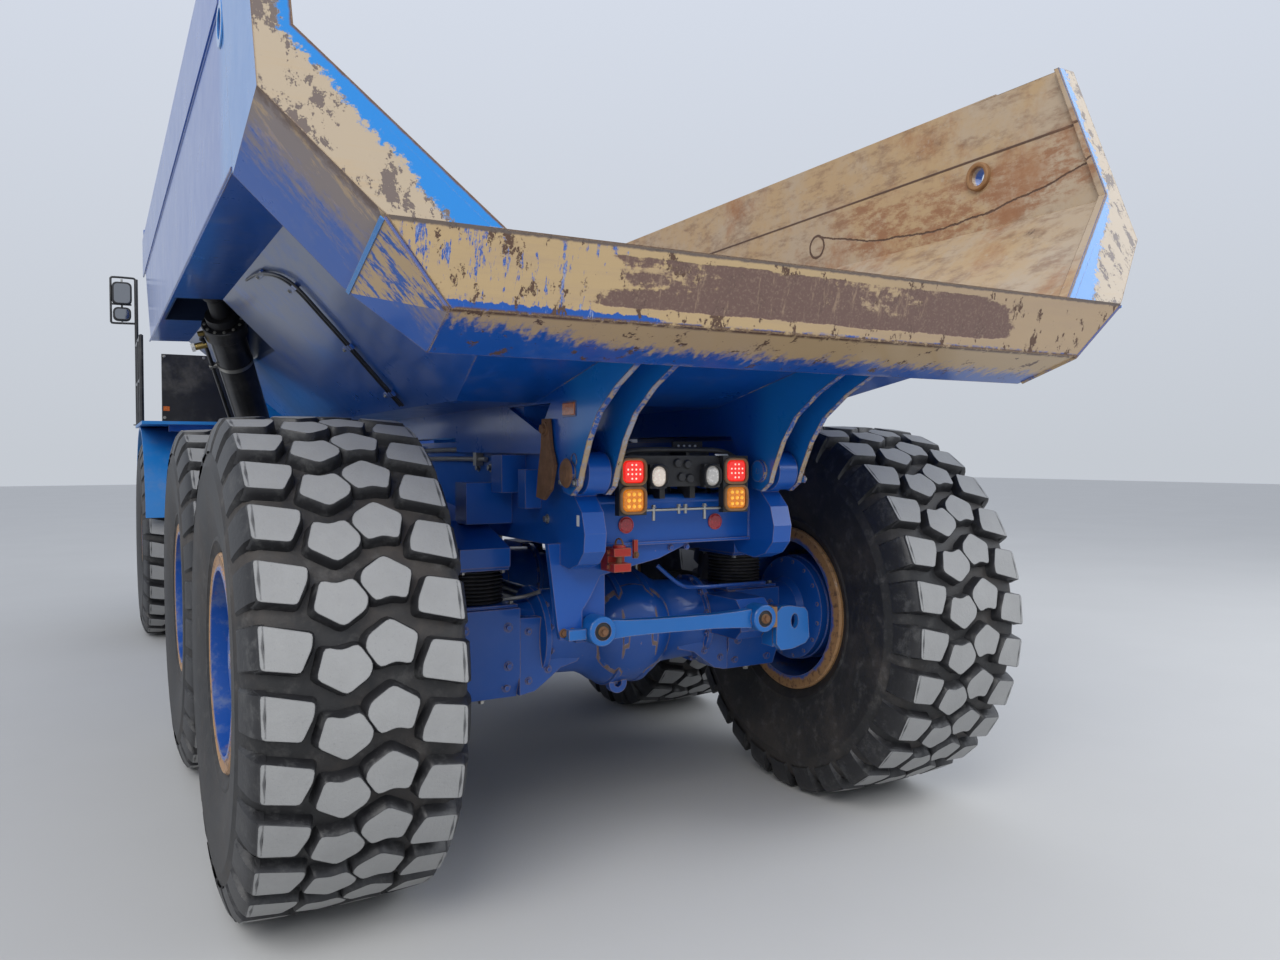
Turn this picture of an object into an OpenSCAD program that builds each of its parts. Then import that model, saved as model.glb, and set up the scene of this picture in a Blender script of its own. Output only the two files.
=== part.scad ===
// Articulated six-wheel dump truck, parked with the bed down.
// Frame: +Y is the truck's front, +X its right side, +Z up.
// The origin is on the ground under the middle of the truck's box.

/* [Chassis] */
// Overall length, tail lip to front bumper
overall_len = 10900; // [10800:10:11200]
// Tail lip behind the rear axle
rear_overhang = 1550; // [1530:10:1600]
// Rear axle to centre axle
bogie_gap = 1970; // [1940:10:2020]
// Centre axle to front axle
wheelbase = 4590; // [4560:10:4640]
// Steering pivot behind the front axle
pivot_back = 1400; // [1380:10:1420]
// Distance between the tyre centres of one axle
track = 2690; // [2670:10:2720]
// Height of the roll tube's and steering pivot's centre
hitch_z = 1250; // [1240:5:1270]
// Outer radius of the roll shaft
roll_shaft_r = 170; // [150:5:185]
// Radius of the steering pin
steer_pin_r = 70; // [60:1:80]
// Running clearance of shafts in their bores
run_clear = 0.05; // [0.02:0.01:0.09]

/* [Frame] */
// Inner face of each rear frame rail
rail_in = 395; // [392:1:400]
// Width of a frame rail
rail_w = 93; // [85:1:95]
// Top of the rear frame rails
rail_top = 1785; // [1765:5:1790]
// Depth of the rear frame rails
rail_deep = 430; // [400:5:460]

/* [Wheels] */
// Tyre outer diameter
tyre_d = 1870; // [1850:2:1880]
// Tyre section width
tyre_w = 745; // [720:5:750]
// Rim seat diameter
rim_d = 740; // [720:2:760]
// Wall of the rim barrel
rim_wall = 22; // [16:1:28]
// Radius of the axle spindles
spindle_r = 120; // [100:1:130]

/* [Bed] */
// Half width of the bed over its side walls
bed_half = 1725; // [1710:5:1735]
// Half width inside the bed
bed_in_half = 1660; // [1640:5:1670]
// Top of the side walls
bed_top = 3420; // [3400:5:3450]
// Bottom edge of the side walls
bed_chine = 2540; // [2530:5:2560]
// Inside height of the flat floor
floor_z = 2000; // [1990:5:2020]
// Inside height of the tail edge
tail_z = 2312; // [2300:2:2320]
// Height where the inner flanks start to slope in
flank_z = 2800; // [2790:5:2810]
// Front end of the flat floor ahead of the rear axle
floor_front = 3080; // [3000:10:3120]
// Front end of the side walls' top edge ahead of the rear axle
wall_front = 4690; // [4600:10:4700]
// Plate thickness of the hull
hull_t = 50; // [40:2:60]
// Bed pivot behind the rear axle
tip_back = 660; // [640:5:680]
// Bed pivot height
tip_z = 1650; // [1640:2:1660]
// Bed pivot pin radius
tip_pin_r = 45; // [38:1:52]
// Inner hinge plate centre from the middle
hinge_in = 368; // [364:1:372]
// Outer hinge plate centre from the middle
hinge_out = 515; // [510:1:520]
// Hinge plate thickness
hinge_t = 24; // [20:1:26]

/* [Hoist] */
// Barrel ball to the side of the middle
hoist_x = 870; // [860:5:890]
// Barrel ball ahead of the rear axle
hoist_y = 3420; // [3400:5:3450]
// Barrel ball height
hoist_z = 1180; // [1165:5:1200]
// Rod eye to the side of the middle
eye_x = 1500; // [1490:2:1510]
// Rod eye ahead of the rear axle
eye_y = 1900; // [1880:5:1920]
// Rod eye height
eye_z = 2640; // [2630:2:2645]
// Outer radius of the hoist barrel
barrel_r = 100; // [90:1:105]
// Ball radius of the hoist bearings
ball_r = 65; // [60:1:70]

/* [Cab] */
// Half width of the cab
cab_half = 800; // [780:5:820]
// Back wall of the cab ahead of the rear axle
cab_back = 5460; // [5440:5:5500]
// Front of the cab at its floor
cab_front = 7160; // [7120:5:7180]
// Floor height of the cab
cab_floor = 1950; // [1930:5:1970]
// Height of the cab roof
cab_top = 3740; // [3700:5:3760]
// Thickness of the cab's walls
cab_wall = 40; // [30:1:50]
// Width of the cab's door opening
door_w = 880; // [860:5:900]

/* [Nose] */
// Half width of the hood
hood_half = 720; // [700:5:740]
// Hood height at the cab
hood_back_z = 2560; // [2540:5:2600]
// Hood height at the nose
hood_front_z = 2080; // [2060:5:2120]
// Thickness of the hood's shell
hood_t = 20; // [16:1:26]

/* [Hidden] */
$fn = 64;
big = 6000;
tyre_r = tyre_d / 2;
half_track = track / 2;
rim_r = rim_d / 2;
// Rear axle in the part's frame: drawing is done from the rear axle, ahead is plus
rear_y = -(overall_len / 2 - rear_overhang);
front_y = bogie_gap + wheelbase;
pivot_y = front_y - pivot_back;
nose_y = overall_len - rear_overhang;
rail_out = rail_in + rail_w;
rail_bot = rail_top - rail_deep;
axle_z = tyre_r;
navy = [0.05, 0.2, 0.6];
black = [0.08, 0.08, 0.09];
steel = [0.55, 0.56, 0.58];

// Helpers

module from_rear() translate([0, rear_y, 0]) children();

module both() {
    children();
    mirror([1, 0, 0]) children();
}

// Box between two corners
module slab(x0, x1, y0, y1, z0, z1)
    translate([x0, y0, z0]) cube([x1 - x0, y1 - y0, z1 - z0]);

// Outline in Y and Z, drawn out along X
module side_plate(points, x0, x1)
    translate([x0, 0, 0]) rotate([90, 0, 90]) linear_extrude(x1 - x0) polygon(points);

// Outline in X and Z, drawn out along Y
module cross_plate(points, y0, y1)
    translate([0, y1, 0]) rotate([90, 0, 0]) linear_extrude(y1 - y0) polygon(points);

// Turns +Z towards the vector v
module aim(v) {
    rotate([0, acos(v[2] / norm(v)), atan2(v[1], v[0])]) children();
}

// Round bar from p to q
module bar(p, q, r) translate(p) aim(q - p) cylinder(r = r, h = norm(q - p));

// Disc across X, Y
module disc_x(x0, x1, y, z, r) translate([x0, y, z]) rotate([0, 90, 0]) cylinder(r = r, h = x1 - x0);
module disc_y(x, y0, y1, z, r) translate([x, y0, z]) rotate([-90, 0, 0]) cylinder(r = r, h = y1 - y0);

// Everything beyond the plane through p with outward normal n
module beyond(p, n) translate(p) aim(n) translate([-big, -big, 0]) cube([2 * big, 2 * big, big]);

// Wheels: drawn about +X, which points outboard

bead_x = tyre_w / 2 - 58;
side_low_r = rim_r + 54;
bulge_r = tyre_r - 235;
groove_r = tyre_r - 47;
tread_half = tyre_w / 2 - 62;
crown_half = 20;
// Lugs a side, and where the groove before one meets its top, as a share of the pitch
lugs = 28;
lug_start = 0.13;
pitch_angle = 360 / lugs;
lug_r = tyre_r / cos(lug_start * pitch_angle);
// The bore has half as many sides as a ring, all touching the rim's seat
bore_sides = lugs / 2;
bore_r = rim_r / cos(180 / bore_sides);

function around(x, r, a) = [x, r * sin(a), r * cos(a)];
function ring(x, r, n, turn) = [for (i = [0:n - 1]) around(x, r, i * 360 / n + turn)];
function lug_ring(x, turn) = [for (i = [0:lugs - 1], f = [lug_start, 1 - lug_start])
    around(x, lug_r, (i + f) * pitch_angle + turn)];

// Rings of one half, from the bore out to the crown: side is 1 outboard and -1 inboard
function half_points(side, turn) = concat(
    ring(side * bead_x, bore_r, bore_sides, 0),
    ring(side * bead_x, side_low_r, lugs, turn),
    ring(side * tyre_w / 2, bulge_r, lugs, turn),
    ring(side * tread_half, groove_r, lugs, turn),
    lug_ring(side * tread_half, turn),
    lug_ring(side * crown_half, turn),
    ring(side * crown_half, groove_r, lugs, turn));
half_count = bore_sides + 8 * lugs;
// First point of each ring within a half
low = bore_sides;
bulge = low + lugs;
groove = bulge + lugs;
lug_out = groove + lugs;
lug_in = lug_out + 2 * lugs;
crown = lug_in + 2 * lugs;

function half_faces() = [for (i = [0:lugs - 1])
    let (j = (i + 1) % lugs, a = 2 * i, b = 2 * i + 1)
    each [
        [low + i, low + j, bulge + j, bulge + i],
        [bulge + i, bulge + j, groove + j, groove + i],
        [groove + i, groove + j, lug_out + b, lug_out + a],
        [groove + i, lug_out + a, lug_in + a, crown + i],
        [lug_out + a, lug_out + b, lug_in + b, lug_in + a],
        [lug_out + b, groove + j, crown + j, lug_in + b],
        [crown + j, crown + i, lug_in + a, lug_in + b]]];
function bead_faces() = [for (i = [0:bore_sides - 1])
    let (j = (i + 1) % bore_sides, a = low + 2 * i, b = low + 2 * i + 1, c = low + (2 * i + 2) % lugs)
    each [[i, b, a], [i, j, b], [j, c, b]]];
function turned(faces) = [for (f = faces) [for (i = [len(f) - 1:-1:0]) f[i]]];

module tyre_shape() {
    outboard = concat(half_faces(), bead_faces());
    bore = [for (i = [0:bore_sides - 1]) let (j = (i + 1) % bore_sides)
        [j, j + half_count, i + half_count, i]];
    middle = [for (i = [0:lugs - 1]) let (j = (i + 1) % lugs, m = half_count + crown)
        each [[m + i, crown + j, crown + i], [m + i, m + j, crown + j]]];
    polyhedron(concat(half_points(1, 0), half_points(-1, pitch_angle / 2)),
        concat(turned(outboard), [for (f = outboard) [for (v = f) v + half_count]], bore, middle));
}

flange_r = rim_r + 45;
disc_in = 40;
disc_out = 75;
hub_r = 235;
hub_in = -60;
hub_out = 250;

module rim_shape() {
    rotate([0, 90, 0]) difference() {
        union() {
            rotate_extrude($fn = 96) polygon([
                [rim_r - rim_wall, -bead_x - 22], [flange_r, -bead_x - 22], [flange_r, -bead_x],
                [rim_r, -bead_x], [rim_r, bead_x], [flange_r, bead_x], [flange_r, bead_x + 22],
                [rim_r - rim_wall, bead_x + 22]]);
            translate([0, 0, disc_in]) cylinder(r = rim_r - rim_wall, h = disc_out - disc_in);
            translate([0, 0, hub_in]) cylinder(r = hub_r, h = hub_out - hub_in);
            translate([0, 0, hub_out]) cylinder(r1 = hub_r - 40, r2 = hub_r - 95, h = 45);
        }
        translate([0, 0, hub_in - 1]) cylinder(r = spindle_r + run_clear, h = 212);
    }
}

module wheel_place(side, y) translate([side * half_track, rear_y + y, axle_z])
    rotate([0, 0, side > 0 ? 0 : 180]) children();

// Axles, drawn about the axle's middle

pad_x = 680;
pad_z = axle_z + 140;
pad_bot = axle_z - 245;
pad_half_x = 150;
pad_half_y = 170;
nose_len = 390;
diff_r = 262;
brake_in = half_track - 330;
brake_out = half_track + hub_in - 12;
spindle_end = half_track + hub_in + 190;

module axle_shape(nose) {
    translate([0, 0, axle_z]) {
        rotate([0, 90, 0]) sphere(r = diff_r);
        translate([0, nose > 0 ? 0 : -nose_len, 0]) rotate([-90, 0, 0]) cylinder(r = 150, h = nose_len);
        disc_x(-brake_in, brake_in, 0, 0, 135);
        both() {
            disc_x(150, 420, 0, 0, 190);
            disc_x(brake_in, brake_out, 0, 0, 268);
            disc_x(brake_out - 1, spindle_end, 0, 0, spindle_r);
        }
    }
    both() slab(pad_x - pad_half_x, pad_x + pad_half_x, -pad_half_y, pad_half_y, pad_bot, pad_z);
}

// Lateral rod's ends, behind or ahead of its axle
link_gap = 500;
bush_half = 55;
bush_r = 60;
bush_face = link_gap - 60;
link_z = 1000;
link_frame_x = -330;
link_axle_x = 470;
// The centre axle's lateral rod passes over the drive shaft
link_rise = 65;
through_len = 300;

module center_axle() color(navy) from_rear() translate([0, bogie_gap, 0]) {
    axle_shape(1);
    disc_y(0, -through_len, -200, axle_z, 90);
    slab(link_axle_x - 60, link_axle_x + 100, 140, bush_face, link_z - 110, link_z + link_rise + 70);
}

module rear_axle() color(navy) from_rear() {
    axle_shape(1);
    slab(link_axle_x - 60, link_axle_x + 100, -bush_face, -140, link_z - 110, link_z + 70);
    // Ear plate beside the rod's eye, with an oval hole, on two ribs
    ear_x = link_axle_x + bush_r + 18;
    ear_back = -bush_face - 80;
    difference() {
        cross_plate([[ear_x, 846], [639, 847], [736, 874], [724, 1026], [616, 1044], [ear_x, 1040]],
            ear_back, ear_back + 30);
        for (z = [960, 985]) disc_y(650, ear_back - 1, ear_back + 31, z, 20);
    }
    slab(ear_x, ear_x + 20, ear_back + 29, -bush_face + 30, 860, 1030);
    slab(700, 725, ear_back + 29, -pad_half_y + 1, 880, 1010);
}

module front_axle() color(navy) from_rear() translate([0, front_y, 0]) axle_shape(-1);

// Equalizer beams, their rubber blocks and the rods of the bogie

beam_half_w = 110;
beam_z0 = 1250;
beam_end = 160;
beam_pin_z = 1345;
beam_pin_r = 60;
block_r = 130;
block_layers = 6;
block_pitch = (beam_z0 - pad_z) / block_layers;

module equalizer_beams() color(navy) from_rear() both() {
    mid = bogie_gap / 2;
    difference() {
        side_plate([[-beam_end, beam_z0], [beam_end, beam_z0], [mid - 300, beam_z0 - 60],
            [mid + 300, beam_z0 - 60], [bogie_gap - beam_end, beam_z0], [bogie_gap + beam_end, beam_z0],
            [bogie_gap + beam_end, beam_z0 + 80], [bogie_gap - beam_end, beam_z0 + 180],
            [mid + 200, beam_z0 + 250], [mid - 200, beam_z0 + 250], [beam_end, beam_z0 + 180],
            [-beam_end, beam_z0 + 80]],
            pad_x - beam_half_w, pad_x + beam_half_w);
        disc_x(pad_x - 200, pad_x + 200, mid, beam_pin_z, beam_pin_r + run_clear);
    }
}

module suspension_blocks() color(black) from_rear() both()
    for (y = [0, bogie_gap]) {
        for (i = [0:block_layers - 1]) translate([pad_x, y, pad_z + (i + 0.12) * block_pitch])
            cylinder(r = block_r, h = block_pitch * 0.76);
        translate([pad_x, y, pad_z]) cylinder(r = block_r - 22, h = beam_z0 - pad_z);
    }

module lateral_rod(y, z) {
    bar([link_frame_x, y, z + 15], [link_axle_x, y, z], 42);
    disc_y(link_frame_x, y - bush_half, y + bush_half, z + 15, bush_r);
    disc_y(link_axle_x, y - bush_half, y + bush_half, z, bush_r);
}

// Pushing rod between a frame bracket and an axle block, seated on the faces of both
module pushing_rod(y0, y1) {
    x0 = rail_out;
    x1 = pad_x - pad_half_x;
    for (y = [y0, y1]) disc_x(x0, x1, y, pad_bot + 55, 50);
    bar([(x0 + x1) / 2, y0, pad_bot + 55], [(x0 + x1) / 2, y1, pad_bot + 55], 20);
}

module axle_links() color(navy) from_rear() {
    lateral_rod(-bush_face - bush_half, link_z);
    lateral_rod(bogie_gap + bush_face + bush_half, link_z + link_rise);
    both() {
        pushing_rod(bogie_gap / 2 - 90, 110);
        pushing_rod(bogie_gap / 2 + 90, bogie_gap - 110);
    }
}

module drive_shafts() color(black) from_rear() {
    for (y = [nose_len, bogie_gap - through_len - 40, bogie_gap + nose_len, pivot_y - 360])
        disc_y(0, y, y + 40, axle_z, 80);
    disc_y(0, nose_len, bogie_gap - through_len, axle_z, 55);
    disc_y(0, bogie_gap + nose_len, pivot_y - 320, axle_z, 55);
}

// Rear frame

cross_y = -500;
cross_z0 = 1350;
cross_z1 = 1540;
tube_r = roll_shaft_r + 65;
tube_back = pivot_y - 1200;
tube_front = pivot_y - 680;
outrig_r = 75;

module rear_rail() {
    ear_y = -tip_back;
    difference() {
        union() {
            side_plate([[ear_y + 60, rail_top - 60], [ear_y + 190, rail_top], [tube_back - 700, rail_top],
                [tube_back - 150, hitch_z + tube_r - 20], [tube_back + 60, hitch_z + tube_r - 60],
                [tube_back + 60, hitch_z - tube_r + 40], [tube_back - 500, hitch_z - tube_r + 40],
                [tube_back - 900, rail_bot], [cross_y + 120, rail_bot], [cross_y + 60, 1290],
                [cross_y - 60, 1275], [cross_y - 140, 1300], [cross_y - 190, 1350],
                [cross_y - 200, 1420], [cross_y - 175, 1500], [cross_y - 110, 1560],
                [ear_y + 20, tip_z - 60]], rail_in, rail_out);
            disc_x(rail_in, rail_out, ear_y, tip_z, tip_pin_r + 35);
        }
        disc_x(rail_in - 1, rail_out + 1, ear_y, tip_z, tip_pin_r + run_clear);
    }
}

// Round seat of a hoist barrel's ball, open towards the barrel
module hoist_cup() translate(hoist_base) aim(hoist_eye - hoist_base) difference() {
    sphere(r = ball_r + 35);
    sphere(r = ball_r + run_clear);
    translate([0, 0, 15]) cylinder(r = 2 * ball_r, h = 2 * ball_r);
}

module rear_frame() color(navy) from_rear() {
    mid = bogie_gap / 2;
    difference() {
        union() {
            both() {
                rear_rail();
                disc_x(rail_out, pad_x + beam_half_w + 30, mid, beam_pin_z, beam_pin_r);
                slab(rail_out - 60, rail_out, mid - 160, mid + 160, pad_bot, rail_bot + 1);
                disc_x(0, hoist_x - 70, hoist_y, hoist_z, outrig_r);
                slab(rail_in, rail_out, hoist_y - 130, hoist_y + 130, hoist_z - 130, rail_bot + 1);
                hoist_cup();
            }
            slab(-rail_in, rail_in, cross_y - 20, cross_y + 60, cross_z0, cross_z1);
            slab(-rail_in, rail_in, mid - 120, mid + 120, rail_bot, rail_bot + 260);
            slab(-rail_in, rail_in, bogie_gap + link_gap + 60, bogie_gap + link_gap + 160, rail_bot - 40,
                rail_bot + 220);
            slab(-rail_in, rail_in, tube_back - 300, tube_back + 60, hitch_z - tube_r + 40,
                hitch_z + tube_r - 60);
            disc_y(0, tube_back - 250, tube_front, hitch_z, tube_r);
            // Bracket of the rear lateral rod, on the left rail
            side_plate([[cross_y + 60, 1300], [cross_y + 150, 1300], [cross_y + 130, 960],
                [cross_y + 60, 960]], link_frame_x - 70, link_frame_x + 60);
            side_plate([[cross_y + 61, 1290], [cross_y + 150, 1290], [cross_y + 150, cross_z0 + 40],
                [cross_y + 61, cross_z0 + 40]], -rail_out, link_frame_x + 60);
            // Cross plate under the cross beam, with a leg down the left rail
            cross_plate([[-541, 1369], [-500, 1034], [-487, 985], [link_frame_x - bush_r - 2, 985],
                [link_frame_x - bush_r - 2, 1095], [-359, 1141], [-310, 1230], [-242, 1246], [-35, 1287],
                [123, cross_z0 - 1], [123, cross_z0 + 19], [-541, cross_z0 + 19]], cross_y + 20, cross_y + 50);
            side_plate([[bogie_gap + bush_face - 90, 1000], [bogie_gap + bush_face, 1000],
                [bogie_gap + bush_face, 1180], [bogie_gap + link_gap + 160, rail_bot + 100],
                [bogie_gap + bush_face - 90, rail_bot + 100]], -rail_in - 1, link_frame_x + 60);
        }
        disc_y(0, tube_back - 251, tube_front + 1, hitch_z, roll_shaft_r + run_clear);
    }
}

// Tail lamps and tow block

lamp_x = 245;
lamp_y = -640;

module tail_lamp_bar() color(black) from_rear() {
    slab(-320, 320, lamp_y + 35, lamp_y + 75, 1590, 1715);
    both() {
        slab(lamp_x - 62, lamp_x + 62, lamp_y + 5, lamp_y + 40, 1480, 1715);
        slab(60, 85, lamp_y + 70, cross_y + 30, cross_z1, 1600);
        slab(90, 166, lamp_y + 5, lamp_y + 40, 1585, 1680);
    }
}

module round_box(x, z, w, h, y0, y1)
    translate([x - w / 2, y0, z - h / 2]) cube([w, y1 - y0, h]);

module tail_lenses_red() color("red") from_rear() both() {
    round_box(lamp_x, 1652, 100, 100, lamp_y - 10, lamp_y + 5);
    disc_y(216, cross_y - 30, cross_y - 20, 1435, 34);
}
module tail_lenses_amber() color("orange") from_rear() both()
    round_box(lamp_x, 1540, 100, 100, lamp_y - 10, lamp_y + 5);
module tail_lenses_clear() color("white") from_rear() both()
    disc_y(128, lamp_y - 8, lamp_y + 5, 1632, 36);

tow_x = -275;
tow_half = 38;
tow_bot = 1256;
tow_slot_z0 = 1289;
tow_slot_z1 = 1317;

module tow_hitch() color("red") from_rear() difference() {
    slab(tow_x - tow_half, tow_x + tow_half, cross_y - 105, cross_y + 10, tow_bot, cross_z0);
    slab(tow_x - 70, tow_x + 70, cross_y - 106, cross_y - 50, tow_slot_z0, tow_slot_z1);
    translate([tow_x, cross_y - 75, tow_bot - 10]) cylinder(r = 14, h = 200);
}

// Roll shaft and steering head

eye_r = 165;
eye_half = 190;
fork_gap = 8;
fork_t = 60;
arm_x = 400;
arm_y = pivot_y - 220;
arm_t = 35;
arm_drop = 40;
neck_back = tube_front + 10;

module hitch_head() color(navy) from_rear() {
    difference() {
        union() {
            disc_y(0, tube_back - 200, neck_back + 1, hitch_z, roll_shaft_r);
            disc_y(0, neck_back, neck_back + 60, hitch_z, tube_r + 5);
            slab(-120, 120, neck_back + 40, pivot_y, hitch_z - 150, hitch_z + 150);
            translate([0, pivot_y, hitch_z - eye_half]) cylinder(r = eye_r, h = 2 * eye_half);
            both() slab(100, arm_x, arm_y - 60, arm_y + 60, hitch_z - arm_drop - arm_t, hitch_z - arm_drop);
            both() translate([arm_x, arm_y, hitch_z - arm_drop - arm_t]) cylinder(r = 66, h = arm_t);
        }
        translate([0, pivot_y, 0]) cylinder(r = steer_pin_r + run_clear, h = big);
    }
}

// Front frame

front_rail_x0 = 340;
front_rail_x1 = 440;
front_rail_z0 = 1000;
front_rail_z1 = 1500;
spine_half = 200;
spine_back = pivot_y + 250;
spine_front = pivot_y + 930;
fork_z0 = hitch_z - eye_half - fork_gap - fork_t;
fork_z1 = hitch_z + eye_half + fork_gap + fork_t;
steer_x = 540;
steer_y = pivot_y + 1050;
steer_pin = 35;
arch_r = tyre_r + 105;
arch_t = 30;
arch_x = 940;
arch_w = 760;
arch_foot = axle_z + 245;
arch_nose_y = front_y + arch_r - 190;
arch_nose_z = axle_z + 565;
deck_half = 1720;
deck_bot = axle_z + arch_r + arch_t - 2;
deck_top = deck_bot + 27;
beam_top = cab_floor - 30;
beam_ys = [cab_back + 200, cab_front - 420];
strut_top = front_rail_z1 - 50;

module front_frame() color(navy) from_rear() {
    both() side_plate([[spine_front, fork_z0], [spine_front, front_rail_z1],
        [nose_y - 500, front_rail_z1 - 60], [nose_y - 150, front_rail_z1 - 200],
        [nose_y - 150, front_rail_z0 + 60], [front_y + 500, front_rail_z0 + 60],
        [front_y + 310, front_rail_z0 + 215], [front_y - 290, front_rail_z0 + 215]],
        front_rail_x0, front_rail_x1);
    // Spine between the pivot's forks and the rails
    slab(-spine_half, spine_half, spine_back, spine_front + 60, fork_z0, fork_z1);
    slab(-front_rail_x1, front_rail_x1, spine_front - 20, spine_front + 60, fork_z0, front_rail_z1);
    for (z = [fork_z0, fork_z1 - fork_t]) {
        slab(-spine_half, spine_half, pivot_y, spine_back + 1, z, z + fork_t);
        translate([0, pivot_y, z]) cylinder(r = spine_half, h = fork_t);
    }
    translate([0, pivot_y, fork_z0 - 15]) cylinder(r = steer_pin_r, h = fork_z1 - fork_z0 + 30);
    // Steering barrel brackets
    both() {
        slab(front_rail_x1 - 1, steer_x + 70, spine_front - 20, steer_y + 75, hitch_z - 85, hitch_z - 48);
        translate([steer_x, steer_y, hitch_z - 85]) cylinder(r = steer_pin, h = 145);
    }
    // Nose cross plate and the hood's hinge tube
    slab(-front_rail_x0, front_rail_x0, nose_y - 180, nose_y - 150, front_rail_z0 + 100,
        front_rail_z1 - 200);
    both() slab(front_rail_x0, front_rail_x1, hood_pin_y - 40, hood_pin_y + 40, front_rail_z1 - 210,
        hood_pin_z);
    disc_x(-hood_ear_x - 60, hood_ear_x + 60, hood_pin_y, hood_pin_z, hood_pin_r);
    // Strut brackets on the rails
    both() slab(front_rail_x0, pad_x + 130, front_y - 130, front_y + 130, strut_top, strut_top + 45);
    // Beams under the cab and decks
    for (y = beam_ys) {
        slab(-930, 930, y, y + 90, beam_top - 80, beam_top);
        both() {
            slab(front_rail_x0, front_rail_x1, y, y + 90, front_rail_z1 - 120, beam_top - 79);
            translate([600, y + 45, beam_top - 1]) cylinder(r = 40, h = cab_floor - beam_top + 1);
            slab(cab_half + 10, 930, y, y + 90, beam_top - 1, deck_bot);
        }
    }
    both() slab(cab_half + 10, 1500, beam_ys[0], beam_ys[0] + 90, deck_bot - 60, deck_bot);
    // Tank hangers
    both() slab(front_rail_x1 - 1, tank_x0 + 120, tank_y0 + 60, tank_y0 + 140, tank_top, tank_top + 50);
    both() slab(front_rail_x0, front_rail_x1, tank_y0 + 60, spine_front + 1, tank_top - 80, tank_top + 50);
}

module front_suspension() color(steel) from_rear() both()
    translate([pad_x, front_y, pad_z]) {
        cylinder(r = 75, h = 150);
        translate([0, 0, 140]) cylinder(r = 105, h = strut_top - pad_z - 140);
    }

module front_drive_shaft() color(black) from_rear() {
    for (y = [pivot_y + 320, front_y - nose_len - 40]) disc_y(0, y, y + 40, axle_z, 56);
    disc_y(0, pivot_y + 320, front_y - nose_len, axle_z, 44);
}

engine_z0 = front_rail_z0 + 100;
engine_z1 = front_rail_z1 + 400;

module engine_block() color([0.3, 0.3, 0.3]) from_rear()
    slab(-front_rail_x0, front_rail_x0, cab_front + 230, nose_y - 560, engine_z0, engine_z1);

// Fenders and decks

module fenders() color([0.1, 0.45, 0.85]) from_rear() both() {
    difference() {
        translate([arch_x, front_y, axle_z]) rotate([0, 90, 0]) difference() {
            cylinder(r = arch_r + arch_t, h = arch_w, $fn = 160);
            translate([0, 0, -1]) cylinder(r = arch_r, h = arch_w + 2, $fn = 160);
        }
        slab(arch_x - 40, arch_x + arch_w + 20, front_y - big, front_y + big, -big, arch_foot);
        slab(arch_x - 40, arch_x + arch_w + 20, arch_nose_y, front_y + big, 0, arch_nose_z);
    }
    slab(cab_half + 6, deck_half, cab_back + 80, cab_front - 120, deck_bot, deck_top);
}

// Cab

glass_t = 8;
belt_z = cab_floor + 620;
head_z = cab_top - 260;
door_y0 = cab_back + 120;
door_y1 = door_y0 + door_w;
quarter_y0 = door_y1 + 90;
quarter_y1 = cab_front - 400;
door_gap = 6;
door_z0 = cab_floor + 94;
door_pin_x = -cab_half - 22;
door_pin_y = door_y0 - 10;
door_hinge_zs = [door_z0 + 150, head_z - 350];

module cab_outline(grow) side_plate([[cab_back - grow, cab_floor - grow], [cab_front + grow, cab_floor - grow],
    [cab_front + grow, belt_z], [cab_front - 260 + grow, cab_top - 140 + grow],
    [cab_front - 340, cab_top + grow], [cab_back + 60, cab_top + grow], [cab_back - grow, cab_top - 90 + grow]],
    -cab_half - grow, cab_half + grow);

module cab_shell() color([0.1, 0.4, 0.8]) from_rear() {
    cab_body();
    // Fixed halves of the door's hinges, with their pins
    for (z = door_hinge_zs) translate([door_pin_x, door_pin_y, z]) {
        cylinder(r = 8, h = 120);
        translate([0, 0, -1]) cylinder(r = 20, h = 60);
        slab(0, -door_pin_x - cab_half, -70, 0, -1, 59);
    }
}

module cab_body() difference() {
    cab_outline(0);
    cab_outline(-cab_wall);
    // Door opening on the left, side window on the right, a quarter window on both
    slab(-cab_half - 1, -cab_half + cab_wall + 1, door_y0, door_y1, door_z0, head_z);
    slab(cab_half - cab_wall - 1, cab_half + 1, door_y0, door_y1, belt_z, head_z);
    both() slab(cab_half - cab_wall - 1, cab_half + 1, quarter_y0, quarter_y1, belt_z, head_z);
    // Windscreen and rear window
    slab(-cab_half + 110, cab_half - 110, cab_front - 330, cab_front + 1, belt_z + 60, head_z + 20);
    slab(-cab_half + 110, cab_half - 110, cab_back - 1, cab_back + cab_wall + 1, belt_z, head_z);
}

module cab_glass() color([0.4, 0.5, 0.55, 0.4]) from_rear() {
    intersection() {
        difference() {
            cab_outline(-cab_wall / 2);
            cab_outline(-cab_wall / 2 - glass_t);
        }
        slab(-cab_half + 110, cab_half - 110, cab_front - 330, cab_front + 1, belt_z + 60, head_z + 20);
    }
    slab(cab_half - 24, cab_half - 24 + glass_t, door_y0, door_y1, belt_z, head_z);
    both() slab(cab_half - 24, cab_half - 24 + glass_t, quarter_y0, quarter_y1, belt_z, head_z);
    slab(-cab_half + 110, cab_half - 110, cab_back + 16, cab_back + 16 + glass_t, belt_z, head_z);
}

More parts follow.
